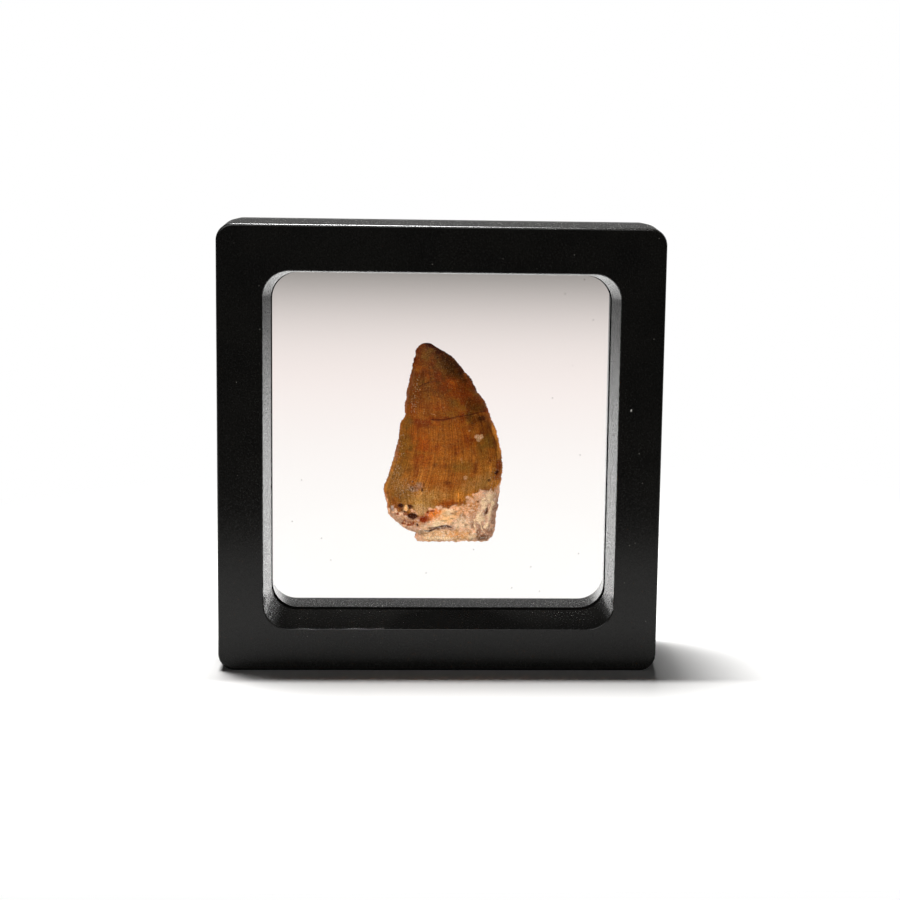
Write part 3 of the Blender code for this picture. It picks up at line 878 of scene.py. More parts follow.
@dataclass(frozen=True)
class Weathering:
    """Stains, cracks, pores and crumbs of the tooth. Marks are placed in mm, right of the frame's middle and above
    the floor, with half their width, half their height, their turn in degrees and their strength or depth."""

    light_share: float = 0.95  # of the light that a stain is named for, what falls on the enamel
    root_light_share: float = 0.74  # and on the root
    enamel_marks: Stained = (
        (Stain.OLIVE, ((-2.9, 63.7, 1.2, 2.2, 0, 0.3), (2.3, 54.1, 1.6, 1.8, 0, 0.2), (4.7, 41.4, 2.2, 1.0, 0, 0.5))),
        (Stain.AMBER, ((3.2, 48.6, 2.6, 2.2, 0, 0.45), (0.0, 38.8, 3.2, 1.8, 0, 0.35))),
        (Stain.SAND, ((-3.2, 34.6, 2.4, 1.8, 0, 0.6), (0.1, 35.8, 1.8, 1.6, 0, 0.4), (5.8, 37.0, 2.0, 1.2, 15, 0.35))),
        (Stain.SAND, ((-3.7, 32.6, 2.2, 1.3, 0, 0.9), (-5.9, 33.9, 1.6, 0.8, 0, 0.35), (9.4, 38.0, 2.2, 1.6, 15, 0.4))),
        (Stain.BEIGE, ((-3.9, 32.3, 1.6, 0.9, 0, 0.5),)),
        (
            Stain.CHESTNUT,
            (
                (-5.0, 63.0, 0.6, 2.2, -12, 0.6), (-5.9, 56.8, 1.0, 3.2, -6, 0.4), (5.7, 55.6, 1.8, 1.8, 0, 0.55),
                (6.3, 57.7, 1.6, 1.0, -50, 0.6), (-2.3, 60.7, 1.6, 1.0, 0, 0.3), (-0.1, 51.2, 2.2, 0.48, 0, 0.7),
                (-5.3, 50.5, 1.2, 0.8, 0, 0.6), (-3.6, 50.1, 1.6, 0.8, -10, 0.75), (-5.0, 41.4, 0.6, 2.8, 0, 0.7),
                (5.9, 46.7, 1.0, 1.0, 0, 0.55), (-2.6, 54.0, 1.0, 1.6, 0, 0.3),
            ),
        ),
        (
            Stain.RUST,
            (
                (-3.4, 45.6, 1.6, 1.4, 0, 0.75), (-0.9, 45.1, 1.2, 1.0, 0, 0.35), (-3.3, 42.1, 1.4, 1.4, 0, 0.4),
                (2.3, 58.7, 1.4, 1.1, 0, 0.65), (5.3, 47.8, 1.2, 1.4, 0, 0.6), (0.5, 53.5, 1.2, 0.8, 0, 0.3),
                (9.7, 52.5, 0.65, 0.48, 0, 0.9), (2.9, 56.1, 1.6, 0.8, 0, 0.35), (-1.4, 57.9, 0.6, 0.8, 0, 0.25),
                (-1.0, 54.7, 1.0, 1.2, 0, 0.35), (1.7, 37.1, 1.6, 1.0, 0, 0.35), (-1.6, 38.7, 1.4, 1.0, 0, 0.25),
                (2.1, 33.9, 2.2, 0.7, 8, 0.75),
            ),
        ),
        (Stain.ORANGE, ((5.1, 59.7, 0.46, 0.53, 0, 0.35),)),
        (Stain.GOLD, ((2.4, 58.6, 0.65, 0.44, 0, 0.35),)),
        (
            Stain.BROWN,
            (
                (-2.1, 66.1, 1.2, 0.8, 0, 1.0), (0.2, 64.7, 2.2, 1.3, -35, 0.9), (2.1, 62.8, 2.4, 1.6, -40, 0.8),
                (3.9, 61.0, 2.0, 1.2, -45, 0.7), (4.6, 61.4, 1.2, 0.7, -45, 0.6), (-5.7, 62.5, 0.32, 2.8, -14, 0.5),
                (8.7, 51.1, 0.8, 0.6, 0, 0.8),
            ),
        ),
        (
            Stain.DARK_OLIVE,
            (
                (1.3, 62.2, 2.4, 1.5, -40, 0.6), (3.0, 60.2, 2.0, 1.2, -30, 0.55), (8.0, 53.1, 1.6, 1.0, -10, 0.6),
                (6.9, 51.1, 2.0, 1.0, -10, 0.6), (-6.2, 44.7, 0.6, 0.6, 0, 0.5),
            ),
        ),
        (
            Stain.UMBER,
            (
                (4.8, 59.0, 1.0, 1.0, 0, 0.55), (6.9, 54.1, 1.6, 1.2, -20, 0.6), (9.6, 55.0, 0.6, 2.4, 30, 0.55),
                (6.3, 49.5, 1.0, 0.8, 0, 0.35), (9.7, 48.7, 1.8, 1.4, 0, 0.65), (7.4, 57.0, 0.32, 2.8, 32, 0.7),
                (1.7, 38.1, 1.0, 0.28, 0, 0.5), (-1.0, 41.6, 0.32, 0.44, 0, 0.6), (1.3, 41.5, 0.18, 1.0, 0, 0.5),
                (3.8, 36.4, 0.28, 0.32, 0, 0.8), (6.2, 42.6, 0.6, 0.24, 0, 0.4),
            ),
        ),
        (
            Stain.OLIVE,
            (
                (9.7, 46.1, 1.6, 1.4, 0, 0.75), (8.7, 43.7, 1.2, 1.8, 0, 0.4), (-7.5, 45.6, 1.4, 2.6, 0, 0.6),
                (-7.4, 41.1, 1.6, 2.0, 0, 0.45), (-6.7, 49.8, 1.0, 1.2, 0, 0.55), (-1.8, 56.1, 1.8, 2.0, 0, 0.3),
                (9.3, 40.5, 1.0, 1.6, 0, 0.3),
            ),
        ),
        (
            Stain.GREY_OLIVE,
            ((-9.7, 37.4, 1.8, 2.8, 10, 0.5), (-7.4, 36.5, 1.8, 2.4, 0, 0.45), (-9.1, 40.5, 1.2, 2.0, 20, 0.35)),
        ),
        (
            Stain.PLUM,
            ((-8.9, 43.5, 0.4, 2.2, -8, 0.4), (-7.0, 54.2, 0.32, 3.2, -8, 0.25), (-5.8, 58.9, 0.3, 2.4, -12, 0.2)),
        ),
        (
            Stain.OCHRE,
            (
                (11.4, 47.9, 0.5, 1.8, 20, 0.7), (12.2, 43.9, 0.5, 2.0, 0, 0.75), (10.6, 41.0, 0.8, 1.0, 0, 0.5),
                (11.5, 37.3, 1.2, 1.0, 0, 0.9), (6.3, 34.4, 1.8, 1.2, 20, 0.55), (4.0, 35.2, 0.85, 1.3, 0, 0.95),
            ),
        ),
        (Stain.SAND, ((12.4, 36.0, 0.8, 0.6, 0, 0.8),)),
        (
            Stain.RUST,
            (
                (12.3, 40.8, 0.6, 1.4, 0, 0.75), (11.9, 38.7, 0.8, 0.8, 0, 0.6), (4.3, 34.4, 0.26, 0.36, 0, 0.9),
                (3.6, 33.9, 0.24, 0.2, 0, 0.9), (4.8, 33.8, 0.2, 0.2, 0, 0.8), (2.4, 58.5, 0.32, 0.24, 0, 0.8),
            ),
        ),
        (Stain.GREY, ((-3.9, 37.4, 0.8, 0.7, 0, 0.4), (-5.5, 36.6, 1.0, 0.6, 0, 0.3))),
        (
            Stain.BROWN,
            (
                (11.8, 39.6, 0.48, 0.3, 0, 0.85), (10.2, 38.2, 0.32, 0.24, 0, 0.8), (10.6, 42.3, 0.24, 0.4, 0, 0.6),
                (-5.4, 38.0, 0.2, 0.2, 0, 0.9), (-3.6, 36.6, 0.18, 0.36, 0, 0.95), (-7.4, 35.8, 0.22, 0.22, 0, 0.8),
                (-5.6, 36.8, 0.18, 0.36, 0, 0.7), (-3.2, 37.6, 0.16, 0.6, 0, 0.6),
            ),
        ),
        (
            Stain.BEIGE,
            (
                (7.55, 47.5, 0.46, 0.46, 0, 0.8), (8.35, 47.4, 0.43, 0.46, 0, 0.8), (7.95, 46.9, 0.5, 0.5, 45, 0.8),
                (6.0, 48.8, 0.16, 0.16, 0, 0.8), (5.3, 39.1, 0.5, 0.42, 0, 0.6), (4.5, 42.7, 0.18, 0.6, 0, 0.2),
                (0.5, 53.5, 0.2, 0.16, 0, 0.3), (-1.6, 52.0, 0.6, 0.12, 0, 0.25), (-3.4, 52.5, 0.14, 0.6, -10, 0.2),
                (9.4, 53.4, 0.26, 0.14, 0, 0.3), (-4.9, 64.0, 0.24, 0.32, 0, 0.12), (3.5, 35.4, 0.16, 0.24, 0, 0.5),
            ),
        ),
    )  # fmt: skip
    root_marks: Stained = (
        (Stain.GREY_PINK, ((9.5, 31.6, 3.4, 4.2, 0, 0.85), (5.6, 31.0, 1.8, 2.2, 0, 0.4))),
        (
            Stain.PLUM,
            ((11.8, 30.6, 1.0, 3.2, -6, 0.5), (7.0, 30.6, 0.9, 2.4, 0, 0.45), (9.7, 31.8, 0.4, 1.1, -12, 0.9)),
        ),
        (
            Stain.PINK,
            ((6.3, 31.8, 2.0, 2.4, 0, 0.55), (-9.9, 30.6, 1.2, 1.6, -30, 0.6), (0.5, 31.9, 1.2, 1.0, 0, 0.75)),
        ),
        (Stain.GREY, ((-9.8, 32.1, 0.44, 0.6, 0, 0.8),)),
        (
            Stain.BUTTER,
            ((-4.2, 31.8, 0.8, 0.73, 0, 0.85), (1.6, 31.1, 1.8, 1.6, 0, 0.85), (-7.3, 30.1, 0.6, 0.4, 0, 0.5)),
        ),
        (
            Stain.ORANGE,
            ((-1.9, 31.1, 2.1, 1.2, 25, 0.85), (-0.7, 31.9, 1.0, 0.8, 0, 0.7), (-2.2, 29.5, 1.3, 0.6, 15, 0.3)),
        ),
        (Stain.RUST, ((-3.0, 30.5, 1.3, 0.9, 25, 0.9), (-5.6, 31.0, 1.6, 1.0, -10, 0.35))),
        (
            Stain.CREAM,
            (
                (-8.4, 31.3, 1.0, 0.4, -20, 0.5), (-3.2, 29.0, 1.0, 0.8, 0, 0.5), (-0.7, 29.3, 1.2, 1.0, 25, 1.0),
                (2.2, 31.9, 0.8, 0.8, 0, 0.8), (4.5, 29.5, 1.4, 1.2, 0, 0.55), (6.0, 28.6, 0.6, 0.4, -20, 0.6),
                (3.6, 32.5, 0.24, 0.18, 0, 0.4), (10.3, 35.5, 0.8, 0.6, 0, 0.4),
            ),
        ),
        (
            Stain.PINK,
            ((2.4, 32.9, 1.2, 0.53, 0, 0.8), (4.5, 31.0, 0.4, 0.32, 0, 0.5), (7.8, 29.8, 0.6, 1.0, 0, 0.4)),
        ),
        (Stain.PLUM, ((12.0, 32.7, 0.4, 1.6, -10, 0.7),)),
        (
            Stain.BEIGE,
            ((-2.5, 26.6, 3.0, 1.2, 0, 0.95), (1.4, 26.9, 4.0, 1.3, 0, 0.95), (5.0, 26.6, 3.0, 1.2, 0, 0.95)),
        ),
        (Stain.GREY_PINK, ((-4.4, 26.1, 1.2, 0.8, 0, 0.7), (0.1, 28.1, 2.0, 0.4, 5, 0.5))),
        (Stain.OCHRE, ((3.7, 26.9, 2.0, 0.8, 0, 0.5),)),
        (Stain.CREAM, ((0.2, 26.1, 3.2, 0.4, 0, 0.5), (6.8, 26.5, 0.8, 0.6, 0, 0.7))),
        (Stain.PLUM, ((9.8, 27.1, 2.6, 1.5, 0, 0.5), (8.6, 28.6, 0.8, 1.6, 0, 0.3))),
        (
            Stain.OCHRE,
            (
                (5.2, 32.6, 2.8, 1.5, 12, 0.42), (-0.4, 30.6, 1.3, 0.8, 20, 0.35), (-4.8, 29.2, 1.4, 0.8, 0, 0.5),
                (7.2, 33.4, 1.0, 2.4, 0, 0.4),
            ),
        ),
        (
            Stain.TOBACCO,
            (
                (-5.2, 29.8, 2.0, 1.3, -20, 0.42), (-9.0, 30.2, 1.4, 1.2, -30, 0.35), (7.1, 31.6, 1.0, 2.8, 0, 0.3),
                (1.6, 31.5, 1.0, 0.6, 0, 0.25), (4.9, 30.4, 1.0, 0.7, 0, 0.3),
            ),
        ),
        # The first UMBER mark darkens a band along the crack above the ledge, in part painted shade beside the crack.
        (Stain.UMBER, ((0.2, 28.5, 2.4, 0.45, 6, 0.7), (9.0, 26.2, 1.6, 0.6, 0, 0.45), (-3.6, 27.2, 0.8, 0.5, 0, 0.4))),
        (Stain.UMBER, ((9.4, 25.5, 1.6, 0.4, 0, 0.5), (1.5, 27.1, 0.2, 0.2, 0, 0.6), (3.6, 32.0, 0.24, 0.2, 0, 0.4))),
        (
            Stain.MAROON,
            (
                (-6.3, 31.3, 0.9, 0.6, -20, 0.8), (-2.6, 32.3, 0.36, 0.36, 0, 0.95), (-2.3, 31.7, 0.32, 0.3, 0, 0.95),
                (-1.4, 32.1, 0.44, 0.24, 0, 0.95), (-3.3, 30.1, 0.73, 0.6, 20, 0.95), (-7.0, 30.9, 0.5, 0.2, -20, 0.7),
            ),
        ),
    )  # fmt: skip
    even_stains: tuple[Stain, ...] = (Stain.ORANGE, Stain.RUST, Stain.BUTTER, Stain.CREAM)
    pores: Stained = (
        (
            Stain.BROWN,
            (
                (-7.8, 32.7, 0.62, 0.55, 0, 0.5), (-6.1, 32.7, 0.62, 0.55, 0, 0.5), (-7.3, 31.7, 0.6, 0.3, -20, 0.3),
                (-5.5, 30.6, 0.95, 0.75, 0, 0.7), (-4.5, 28.9, 0.3, 0.4, 0, 0.4), (-6.9, 27.9, 0.28, 0.18, 0, 0.2),
                (-1.7, 27.6, 0.38, 0.2, 0, 0.3), (-3.6, 36.6, 0.18, 0.36, 0, 0.12), (-5.4, 38.0, 0.2, 0.2, 0, 0.1),
                (11.8, 39.6, 0.48, 0.3, 0, 0.15),
            ),
        ),
        (
            Stain.MAROON,
            (
                (-7.3, 29.3, 0.44, 0.48, 0, 0.35), (-6.2, 29.1, 0.48, 0.53, 0, 0.35), (-8.7, 31.0, 0.3, 0.4, 0, 0.25),
                (-5.4, 29.1, 0.24, 0.48, 0, 0.25), (-3.3, 30.1, 0.7, 0.55, 20, 0.15), (-2.3, 31.8, 0.3, 0.4, 0, 0.15),
            ),
        ),
        (Stain.UMBER, ((9.9, 31.9, 0.28, 0.7, -15, 0.3), (8.0, 33.9, 0.2, 0.2, 0, 0.15))),
        (
            Stain.BEIGE,
            ((-7.3, 29.3, 0.17, 0.2, 0, 0.0), (-6.2, 29.1, 0.19, 0.22, 0, 0.0), (-7.3, 31.8, 0.25, 0.12, 0, 0.0)),
        ),
    )  # fmt: skip
    worn_places: Marks = (
        (-6.4, 36.4, 3.2, 2.0, 0, 1.0), (-9.2, 39.6, 1.4, 3.4, 12, 1.0), (-8.2, 45.0, 0.9, 2.6, -8, 1.0),
        (11.6, 39.0, 1.2, 3.0, 0, 1.0), (-5.2, 55.6, 0.8, 4.0, -8, 0.4),
    )  # fmt: skip
    islands: Marks = (
        (-6.9, 32.5, 0.44, 0.66, 0, 0.12), (4.0, 35.2, 0.8, 1.25, 0, 0.06), (-2.0, 31.4, 1.7, 0.9, 15, 0.08),
        (1.6, 31.1, 1.6, 1.4, 0, 0.08), (-0.7, 29.3, 1.1, 0.9, 25, 0.1),
    )  # fmt: skip
    cracks: Lines = (
        (0.10, ((-1.96, 50.97), (-0.11, 50.98), (1.33, 51.07), (2.98, 51.58), (5.25, 51.82), (6.5, 51.96),
                (8.18, 52.34), (9.68, 52.45))),
        (0.09, ((-4.5, 57.36), (-3.68, 58.02), (-2.86, 58.39), (-1.83, 58.65), (-0.8, 58.82))),
        (0.08, ((11.19, 47.31), (11.64, 45.01), (11.88, 42.71), (11.97, 40.61), (11.78, 38.94))),
        (0.20, ((-2.96, 27.62), (-1.92, 27.55), (-0.48, 28.44), (0.55, 28.81), (1.59, 28.77), (2.42, 28.63))),
    )  # fmt: skip
    veins: Lines = (
        (0.95, ((10.5, 34.8), (9.5, 33.4), (8.9, 32.2), (8.6, 31.0), (8.6, 30.3))),
        (0.36, ((11.2, 33.3), (10.75, 32.3), (10.45, 31.07), (10.16, 29.58), (9.66, 28.2))),
        (0.12, ((7.4, 30.03), (7.42, 28.94), (7.64, 27.86))),
        (0.12, ((8.46, 29.31), (8.79, 28.21), (9.34, 27.1))),
    )  # fmt: skip

    @staticmethod
    def cover(where: np.ndarray, mark: Mark, ragged: np.ndarray, soft: float) -> np.ndarray:
        """How fully a mark covers each point.

        Args:
            where: The points, in mm across and mm up.
            mark: The mark.
            ragged: Noise that frays its edge.
            soft: Width of its edge, as a share of its size.

        Returns:
            The cover, from 0 to 1.
        """
        x, z, wide, high, turn, _ = mark
        angle = math.radians(turn)
        dx, dz = where[:, 0] - x, where[:, 1] - z
        u = (dx * math.cos(angle) + dz * math.sin(angle)) / wide
        v = (dz * math.cos(angle) - dx * math.sin(angle)) / high
        return ease((1 + soft / 2 - np.hypot(u, v) + ragged) / soft)

    @staticmethod
    def line_distance(where: np.ndarray, line: Curve) -> np.ndarray:
        """The distance in mm from each point to a line of short straight runs.

        Args:
            where: The points, in mm across and mm up.
            line: The points of the line.

        Returns:
            The distances.
        """
        nearest = np.full(len(where), 1e9)
        for start, end in zip(np.array(line[:-1]), np.array(line[1:])):
            run = end - start
            t = np.clip((where - start) @ run / (run @ run), 0, 1)
            nearest = np.minimum(nearest, np.hypot(*(where - start - t[:, None] * run).T))
        return nearest


@dataclass(frozen=True)
class Edging:
    """How a kind of mark ends: how far two noises fray it, and how soft it is, for little marks and for others."""

    little: Triple
    large: Triple
    largest_little: float = 0.65

    def of(self, mark: Mark) -> Triple:
        """The fray by each noise and the softness of one mark."""
        return self.little if min(mark[2], mark[3]) < self.largest_little else self.large


@dataclass(frozen=True)
class Skin:
    """What the tooth is painted by at each point: its place among the marks, its light and four noises."""

    where: np.ndarray
    tidy: np.ndarray
    height: np.ndarray
    lift: np.ndarray
    ragged: np.ndarray
    broad: np.ndarray
    blotch: np.ndarray
    small: np.ndarray

    def plain(self, stain: Stain) -> np.ndarray:
        """One stain everywhere."""
        return stain.linear(self.lift)

    def mixed(self, colours: np.ndarray, stain: Stain, share: np.ndarray) -> np.ndarray:
        """The colours with a share of one stain over them."""
        return colours + (self.plain(stain) - colours) * np.clip(share, 0, 1)[:, None]

    def strewn(self, groups: Stained, edging: Edging) -> Iterator[tuple[Stain, float, np.ndarray]]:
        """Each mark's stain, its strength or depth, and how fully it covers each point.

        Args:
            groups: The marks of each stain.
            edging: How they end.

        Returns:
            The marks, one after another.
        """
        for stain, marks in groups:
            for mark in marks:
                rough, fine, soft = edging.of(mark)
                yield stain, mark[5], Weathering.cover(self.where, mark, self.ragged * rough + self.small * fine, soft)


@dataclass
class Tooth:
    """The fossil tooth: crown, cutting edges, broken root and its ledge of sand."""

    form: ToothForm
    weathering: Weathering
    columns: int = 232
    front_columns: int = 150
    rings: int = 428
    cap_rings: int = 24
    tip_rings: int = 9
    root_rings: int = 116
    root_top: float = 0.0375
    tip_round: float = 0.0003
    denticle: float = 0.00052
    denticle_depth: float = 0.00024
    root_fray: float = 0.00030
    edge_sharpness: int = 26
    relief_limit: float = 0.20
    rim_share: float = 0.99999
    half_width: float = 12.0
    # painted light: how much brighter the colour is made along the tooth's edges and along its base, where they turn
    # from the lamps
    painted_edge_light: float = 0.5
    painted_base_light: float = 1.1
    enamel_edging: Edging = Edging((0.12, 0.08, 0.5), (0.4, 0.25, 1.1))
    root_edging: Edging = Edging((0.15, 0.1, 0.5), (0.45, 0.4, 0.9))
    pore_edging: Edging = Edging((0.3, 0.3, 0.6), (0.3, 0.3, 0.6))

    def levels(self) -> tuple[np.ndarray, np.ndarray]:
        """The height of each ring, and how far it is drawn in towards its middle.

        Returns:
            The heights and the shares.
        """
        form = self.form
        shoulder = form.tip - self.tip_round
        crown_rings = self.rings + 1 - self.cap_rings - self.root_rings - self.tip_rings
        cap = np.full(self.cap_rings, form.base)
        root = np.linspace(form.base, self.root_top, self.root_rings, endpoint=False)
        crown = np.linspace(self.root_top, shoulder, crown_rings)
        turn = np.linspace(0, math.pi / 2, self.tip_rings + 1)[1:]
        heights = np.concatenate([cap, root, crown, shoulder + self.tip_round * np.sin(turn)])
        shares = np.ones(len(heights))
        shares[: self.cap_rings] = np.arange(self.cap_rings) / self.cap_rings
        shares[-self.tip_rings :] = np.cos(turn)
        return heights, shares

    def build(self, finish: bpy.types.Material) -> Piece:
        """Models the tooth and paints it.

        Args:
            finish: The enamel material.

        Returns:
            The tooth.
        """
        bpy.ops.object.select_all(action="DESELECT")
        bpy.ops.mesh.primitive_uv_sphere_add(segments=self.columns, ring_count=self.rings, radius=1, calc_uvs=False)
        tooth = bpy.context.object
        tooth.name = tooth.data.name = "fossil_tooth"
        start = Bench.points(tooth)
        column = np.rint(np.arctan2(start[:, 1], start[:, 0]) % math.tau / math.tau * self.columns).astype(int)
        column = (column + self.columns // 2) % self.columns
        ring = np.rint((np.arcsin(np.clip(start[:, 2], -1, 1)) / math.pi + 0.5) * self.rings).astype(int)
        places, across, sign = self.shape(column, ring)
        Bench.move_points(tooth, places)
        self.paint(tooth, places, across, sign, ring)
        tooth.data.materials.append(finish)
        Bench.only(tooth)
        bpy.ops.object.shade_smooth()
        return tooth

    def shape(self, column: np.ndarray, ring: np.ndarray) -> tuple[np.ndarray, np.ndarray, np.ndarray]:
        """Carries a sphere's vertices to the tooth's surface.

        Args:
            column: Each vertex's column, counted from the left edge across the front.
            ring: Each vertex's ring, counted from the base.

        Returns:
            The places, how far across each is from -1 to 1, and the side's sign.
        """
        form = self.form
        heights, shares = self.levels()
        z, draw = heights[ring], shares[ring]
        front = column <= self.front_columns
        back_columns = self.columns - self.front_columns
        share = np.where(front, column / self.front_columns, 1 - (column - self.front_columns) / back_columns)
        across = 0.4 * -np.cos(math.pi * share) + 0.6 * (2 * share - 1)
        sign = np.where(front, -1.0, 1.0)
        left, right = form.edges(z)
        x = (left + right) / 2 + across * (right - left) / 2
        y = form.face(x, z, sign)
        rim = np.abs(across) > self.rim_share
        y[rim] = form.middle(z)[rim]
        places = self.relieve(np.column_stack([x, y, z]), across, sign)
        centre = np.column_stack([(left + right) / 2, form.middle(z), z])
        places = centre + (places - centre) * draw[:, None]
        rise = form.break_rise * np.abs(y) / form.half_thickness[0][1] * ease(draw * 1.4 - 0.4)
        places[:, 2] += self.broken(places, z, rise)
        return places, across, sign

    def broken(self, places: np.ndarray, z: np.ndarray, rise: np.ndarray) -> np.ndarray:
        """How far the ragged break lifts each point of the base.

        Args:
            places: The points.
            z: Their heights on the plain form.
            rise: How far the break's hollow lifts them.

        Returns:
            The lift, which is nothing above the break.
        """
        form = self.form
        at_base = 1 - np.clip((z - form.base) / form.break_height, 0, 1)
        rough = np.zeros(len(places))
        for k in np.flatnonzero(at_base > 0):
            rough[k] = noise.noise(Vector(places[k]) / form.root_lump_size)
        crumb = Ripple(11).read(places, 0.0007) * 0.00028 + Ripple(12).read(places, 0.0003) * 0.00016
        return at_base * (rise + rough * form.break_roughness + crumb)

    def relieve(self, places: np.ndarray, across: np.ndarray, sign: np.ndarray) -> np.ndarray:
        """Adds serrations, cracks, pores, lumps and crumbs to the plain form.

        Args:
            places: Points of the plain form.
            across: How far across each is, from -1 to 1.
            sign: The side's sign.

        Returns:
            The points with their relief.
        """
        form, wear = self.form, self.weathering
        places = places.copy()
        x, z = places[:, 0], places[:, 2]
        where, tidy = self.mark_places(places, sign)
        ragged = Ripple(3).read(places, 0.00045)
        root = ease(form.below_enamel(x, z))
        crumb = Ripple(4).read(places, 0.0011) * 0.09 + Ripple(5).read(places, 0.00055) * 0.05
        push = root * (crumb + Ripple(6).read(places, 0.0003) * 0.03)
        flutes = Ripple(7).read(np.column_stack([across * self.half_width, places[:, 1] * 300, z * 90]), 0.9)
        push += (1 - root) * 0.018 * flutes
        for _, marks in wear.pores:
            for mark in marks:
                push -= mark[5] * wear.cover(where, mark, ragged * 0.12, 0.7)
        for mark in wear.islands:
            push += mark[5] * wear.cover(where, mark, ragged * 0.3, 0.5)
        for width, line in wear.cracks:
            near = np.clip(1 - wear.line_distance(tidy, line) / (width * 1.3), 0, 1)
            push -= near * (0.09 + 1.2 * max(width - 0.1, 0))
        for width, line in wear.veins:
            push += 0.10 * ease(1.3 - wear.line_distance(where, line) / width + 0.5 * ragged)
        swell = form.swell(x, z)
        places[:, 1] += sign * np.minimum(push, self.relief_limit) * MM * np.clip(swell * 2.5, 0, 1)
        places[:, 0] -= np.sign(across) * self.serrations(places, root, ragged) * np.abs(across) ** self.edge_sharpness
        return places

    def serrations(self, places: np.ndarray, root: np.ndarray, ragged: np.ndarray) -> np.ndarray:
        """How deep the serrations and chips of the cutting edges are, and the fraying of the root's edges.

        Args:
            places: The points.
            root: Where the root is.
            ragged: Noise that sets the teeth of the edge unevenly.

        Returns:
            The depth at each point, were it on an edge.
        """
        wave = np.abs((places[:, 2] / self.denticle + 0.2 * ragged) % 1 * 2 - 1) ** 1.5
        worn = 0.7 + 0.4 * Ripple(8).read(places, 0.0016)
        chips = np.clip(Ripple(9).read(places, 0.0006) + 0.1, 0, 1) * 0.22
        chips = chips + np.clip(Ripple(10).read(places, 0.0004), 0, 1) * 0.25
        return (1 - root) * (wave * worn * self.denticle_depth + chips * MM) + root * self.root_fray * (1 + ragged)

    def mark_places(self, places: np.ndarray, sign: np.ndarray) -> tuple[np.ndarray, np.ndarray]:
        """Where each point lies among the marks, in mm. The back has them moved about.

        Args:
            places: The points.
            sign: The side's sign.

        Returns:
            The places with a ragged warp, for stains, and the places almost without, for fine lines.
        """
        flat = np.column_stack([(places[:, 0] - SHIFT_X) / MM, places[:, 2] / MM])
        roam = np.column_stack([Ripple(21).read(places, 0.006), Ripple(22).read(places, 0.006)])
        flat = np.where(sign[:, None] > 0, flat + 2.2 * roam + (1.1, -0.9), flat)
        warp = np.column_stack([Ripple(23).read(places, 0.0011), Ripple(24).read(places, 0.0011)])
        fray = np.column_stack([Ripple(25).read(places, 0.0004), Ripple(26).read(places, 0.0004)])
        return flat + 0.16 * warp + 0.07 * fray, flat + 0.06 * warp

    def paint(
        self, tooth: Piece, places: np.ndarray, across: np.ndarray, sign: np.ndarray, ring: np.ndarray
    ) -> None:
        """Writes stains with painted light at edges and base, the kind of surface (root, worn, smooth) and the lie of
        the streaks to the mesh.

        Args:
            tooth: The tooth.
            places: Its points.
            across: How far across each is, from -1 to 1.
            sign: The side's sign.
            ring: Each point's ring.
        """
        form, wear = self.form, self.weathering
        height = places[:, 2]
        ragged, broad, blotch, small = (
            Ripple(seed).read(places, size) for seed, size in ((31, 0.0007), (32, 0.0034), (33, 0.0013), (34, 0.0005))
        )
        frayed = height + 0.0009 * blotch + 0.0009 * ragged + 0.0007 * small
        root = ease(form.below_enamel(places[:, 0] + 0.0008 * ragged, frayed) * 1.2)
        root[ring < self.cap_rings] = 1.0
        lift = (1 / wear.light_share + (1 / wear.root_light_share - 1 / wear.light_share) * root)[:, None]
        skin = Skin(*self.mark_places(places, sign), height, lift, ragged, broad, blotch, small)

        dark = ease((across - 0.93) / 0.05) * (height > 0.056)
        enamel = skin.mixed(self.enamel_stains(skin), Stain.UMBER, 0.5 * dark)
        bone, even = self.root_stains(skin)
        colours, pore = self.open_pores(skin, enamel + (bone - enamel) * root[:, None])
        # Painted light: brightens the colour along both edges, less on the darkened right edge near the tip, and along
        # the base.
        edge = self.painted_edge_light * ease((np.abs(across) - 0.9) / 0.1) * (1 - 0.6 * dark)
        edge = edge + self.painted_base_light * ease((form.base + 0.0009 - height) / 0.0007)
        colours = capped(colours * (1 + edge[:, None]))

        ones = np.ones(len(places))
        fray = 0.4 * ragged + 0.3 * small
        worn = np.max([wear.cover(skin.where, mark, fray, 1.0) for mark in wear.worn_places], axis=0)
        kinds = np.column_stack([root, worn, np.maximum(pore, even), ones])
        # The stain attribute holds the stains together with the painted light of the edges and the base.
        for name, values in (("stain", np.column_stack([colours, ones])), ("kind", kinds)):
            layer = tooth.data.color_attributes.new(name, "FLOAT_COLOR", "POINT")
            layer.data.foreach_set("color", values.ravel())
        lie = tooth.data.attributes.new("lie", "FLOAT_VECTOR", "POINT")
        streaks = np.column_stack([across * self.half_width, height / MM, places[:, 1] / MM])
        lie.data.foreach_set("vector", streaks.ravel())

    def enamel_stains(self, skin: Skin) -> np.ndarray:
        """The colours of the enamel: amber, darker towards the tip, under its marks.

        Args:
            skin: The tooth's points.

        Returns:
            The colours.
        """
        broad, blotch = skin.broad, skin.blotch
        colours = skin.plain(Stain.AMBER)
        for stain, share in (
            (Stain.TOBACCO, 1.1 * ease((skin.height - 0.046) / 0.014) + 0.3 * broad),
            (Stain.GOLD, ease((0.046 - skin.height) / 0.008) + 0.3 * broad),
            (Stain.GOLD, 0.5 * np.clip(broad + 0.6 * blotch, 0, 1)),
            (Stain.OLIVE, 0.9 * np.clip(-0.8 * broad - 0.5 * blotch - 0.1, 0, 1)),
            (Stain.CHESTNUT, 0.05 + 0.8 * blotch),
            (Stain.RUST, 0.5 * skin.small * (1 + skin.ragged)),
        ):
            colours = skin.mixed(colours, stain, share)
        for stain, strength, cover in skin.strewn(self.weathering.enamel_marks, self.enamel_edging):
            colours = skin.mixed(colours, stain, strength * cover)
        return colours

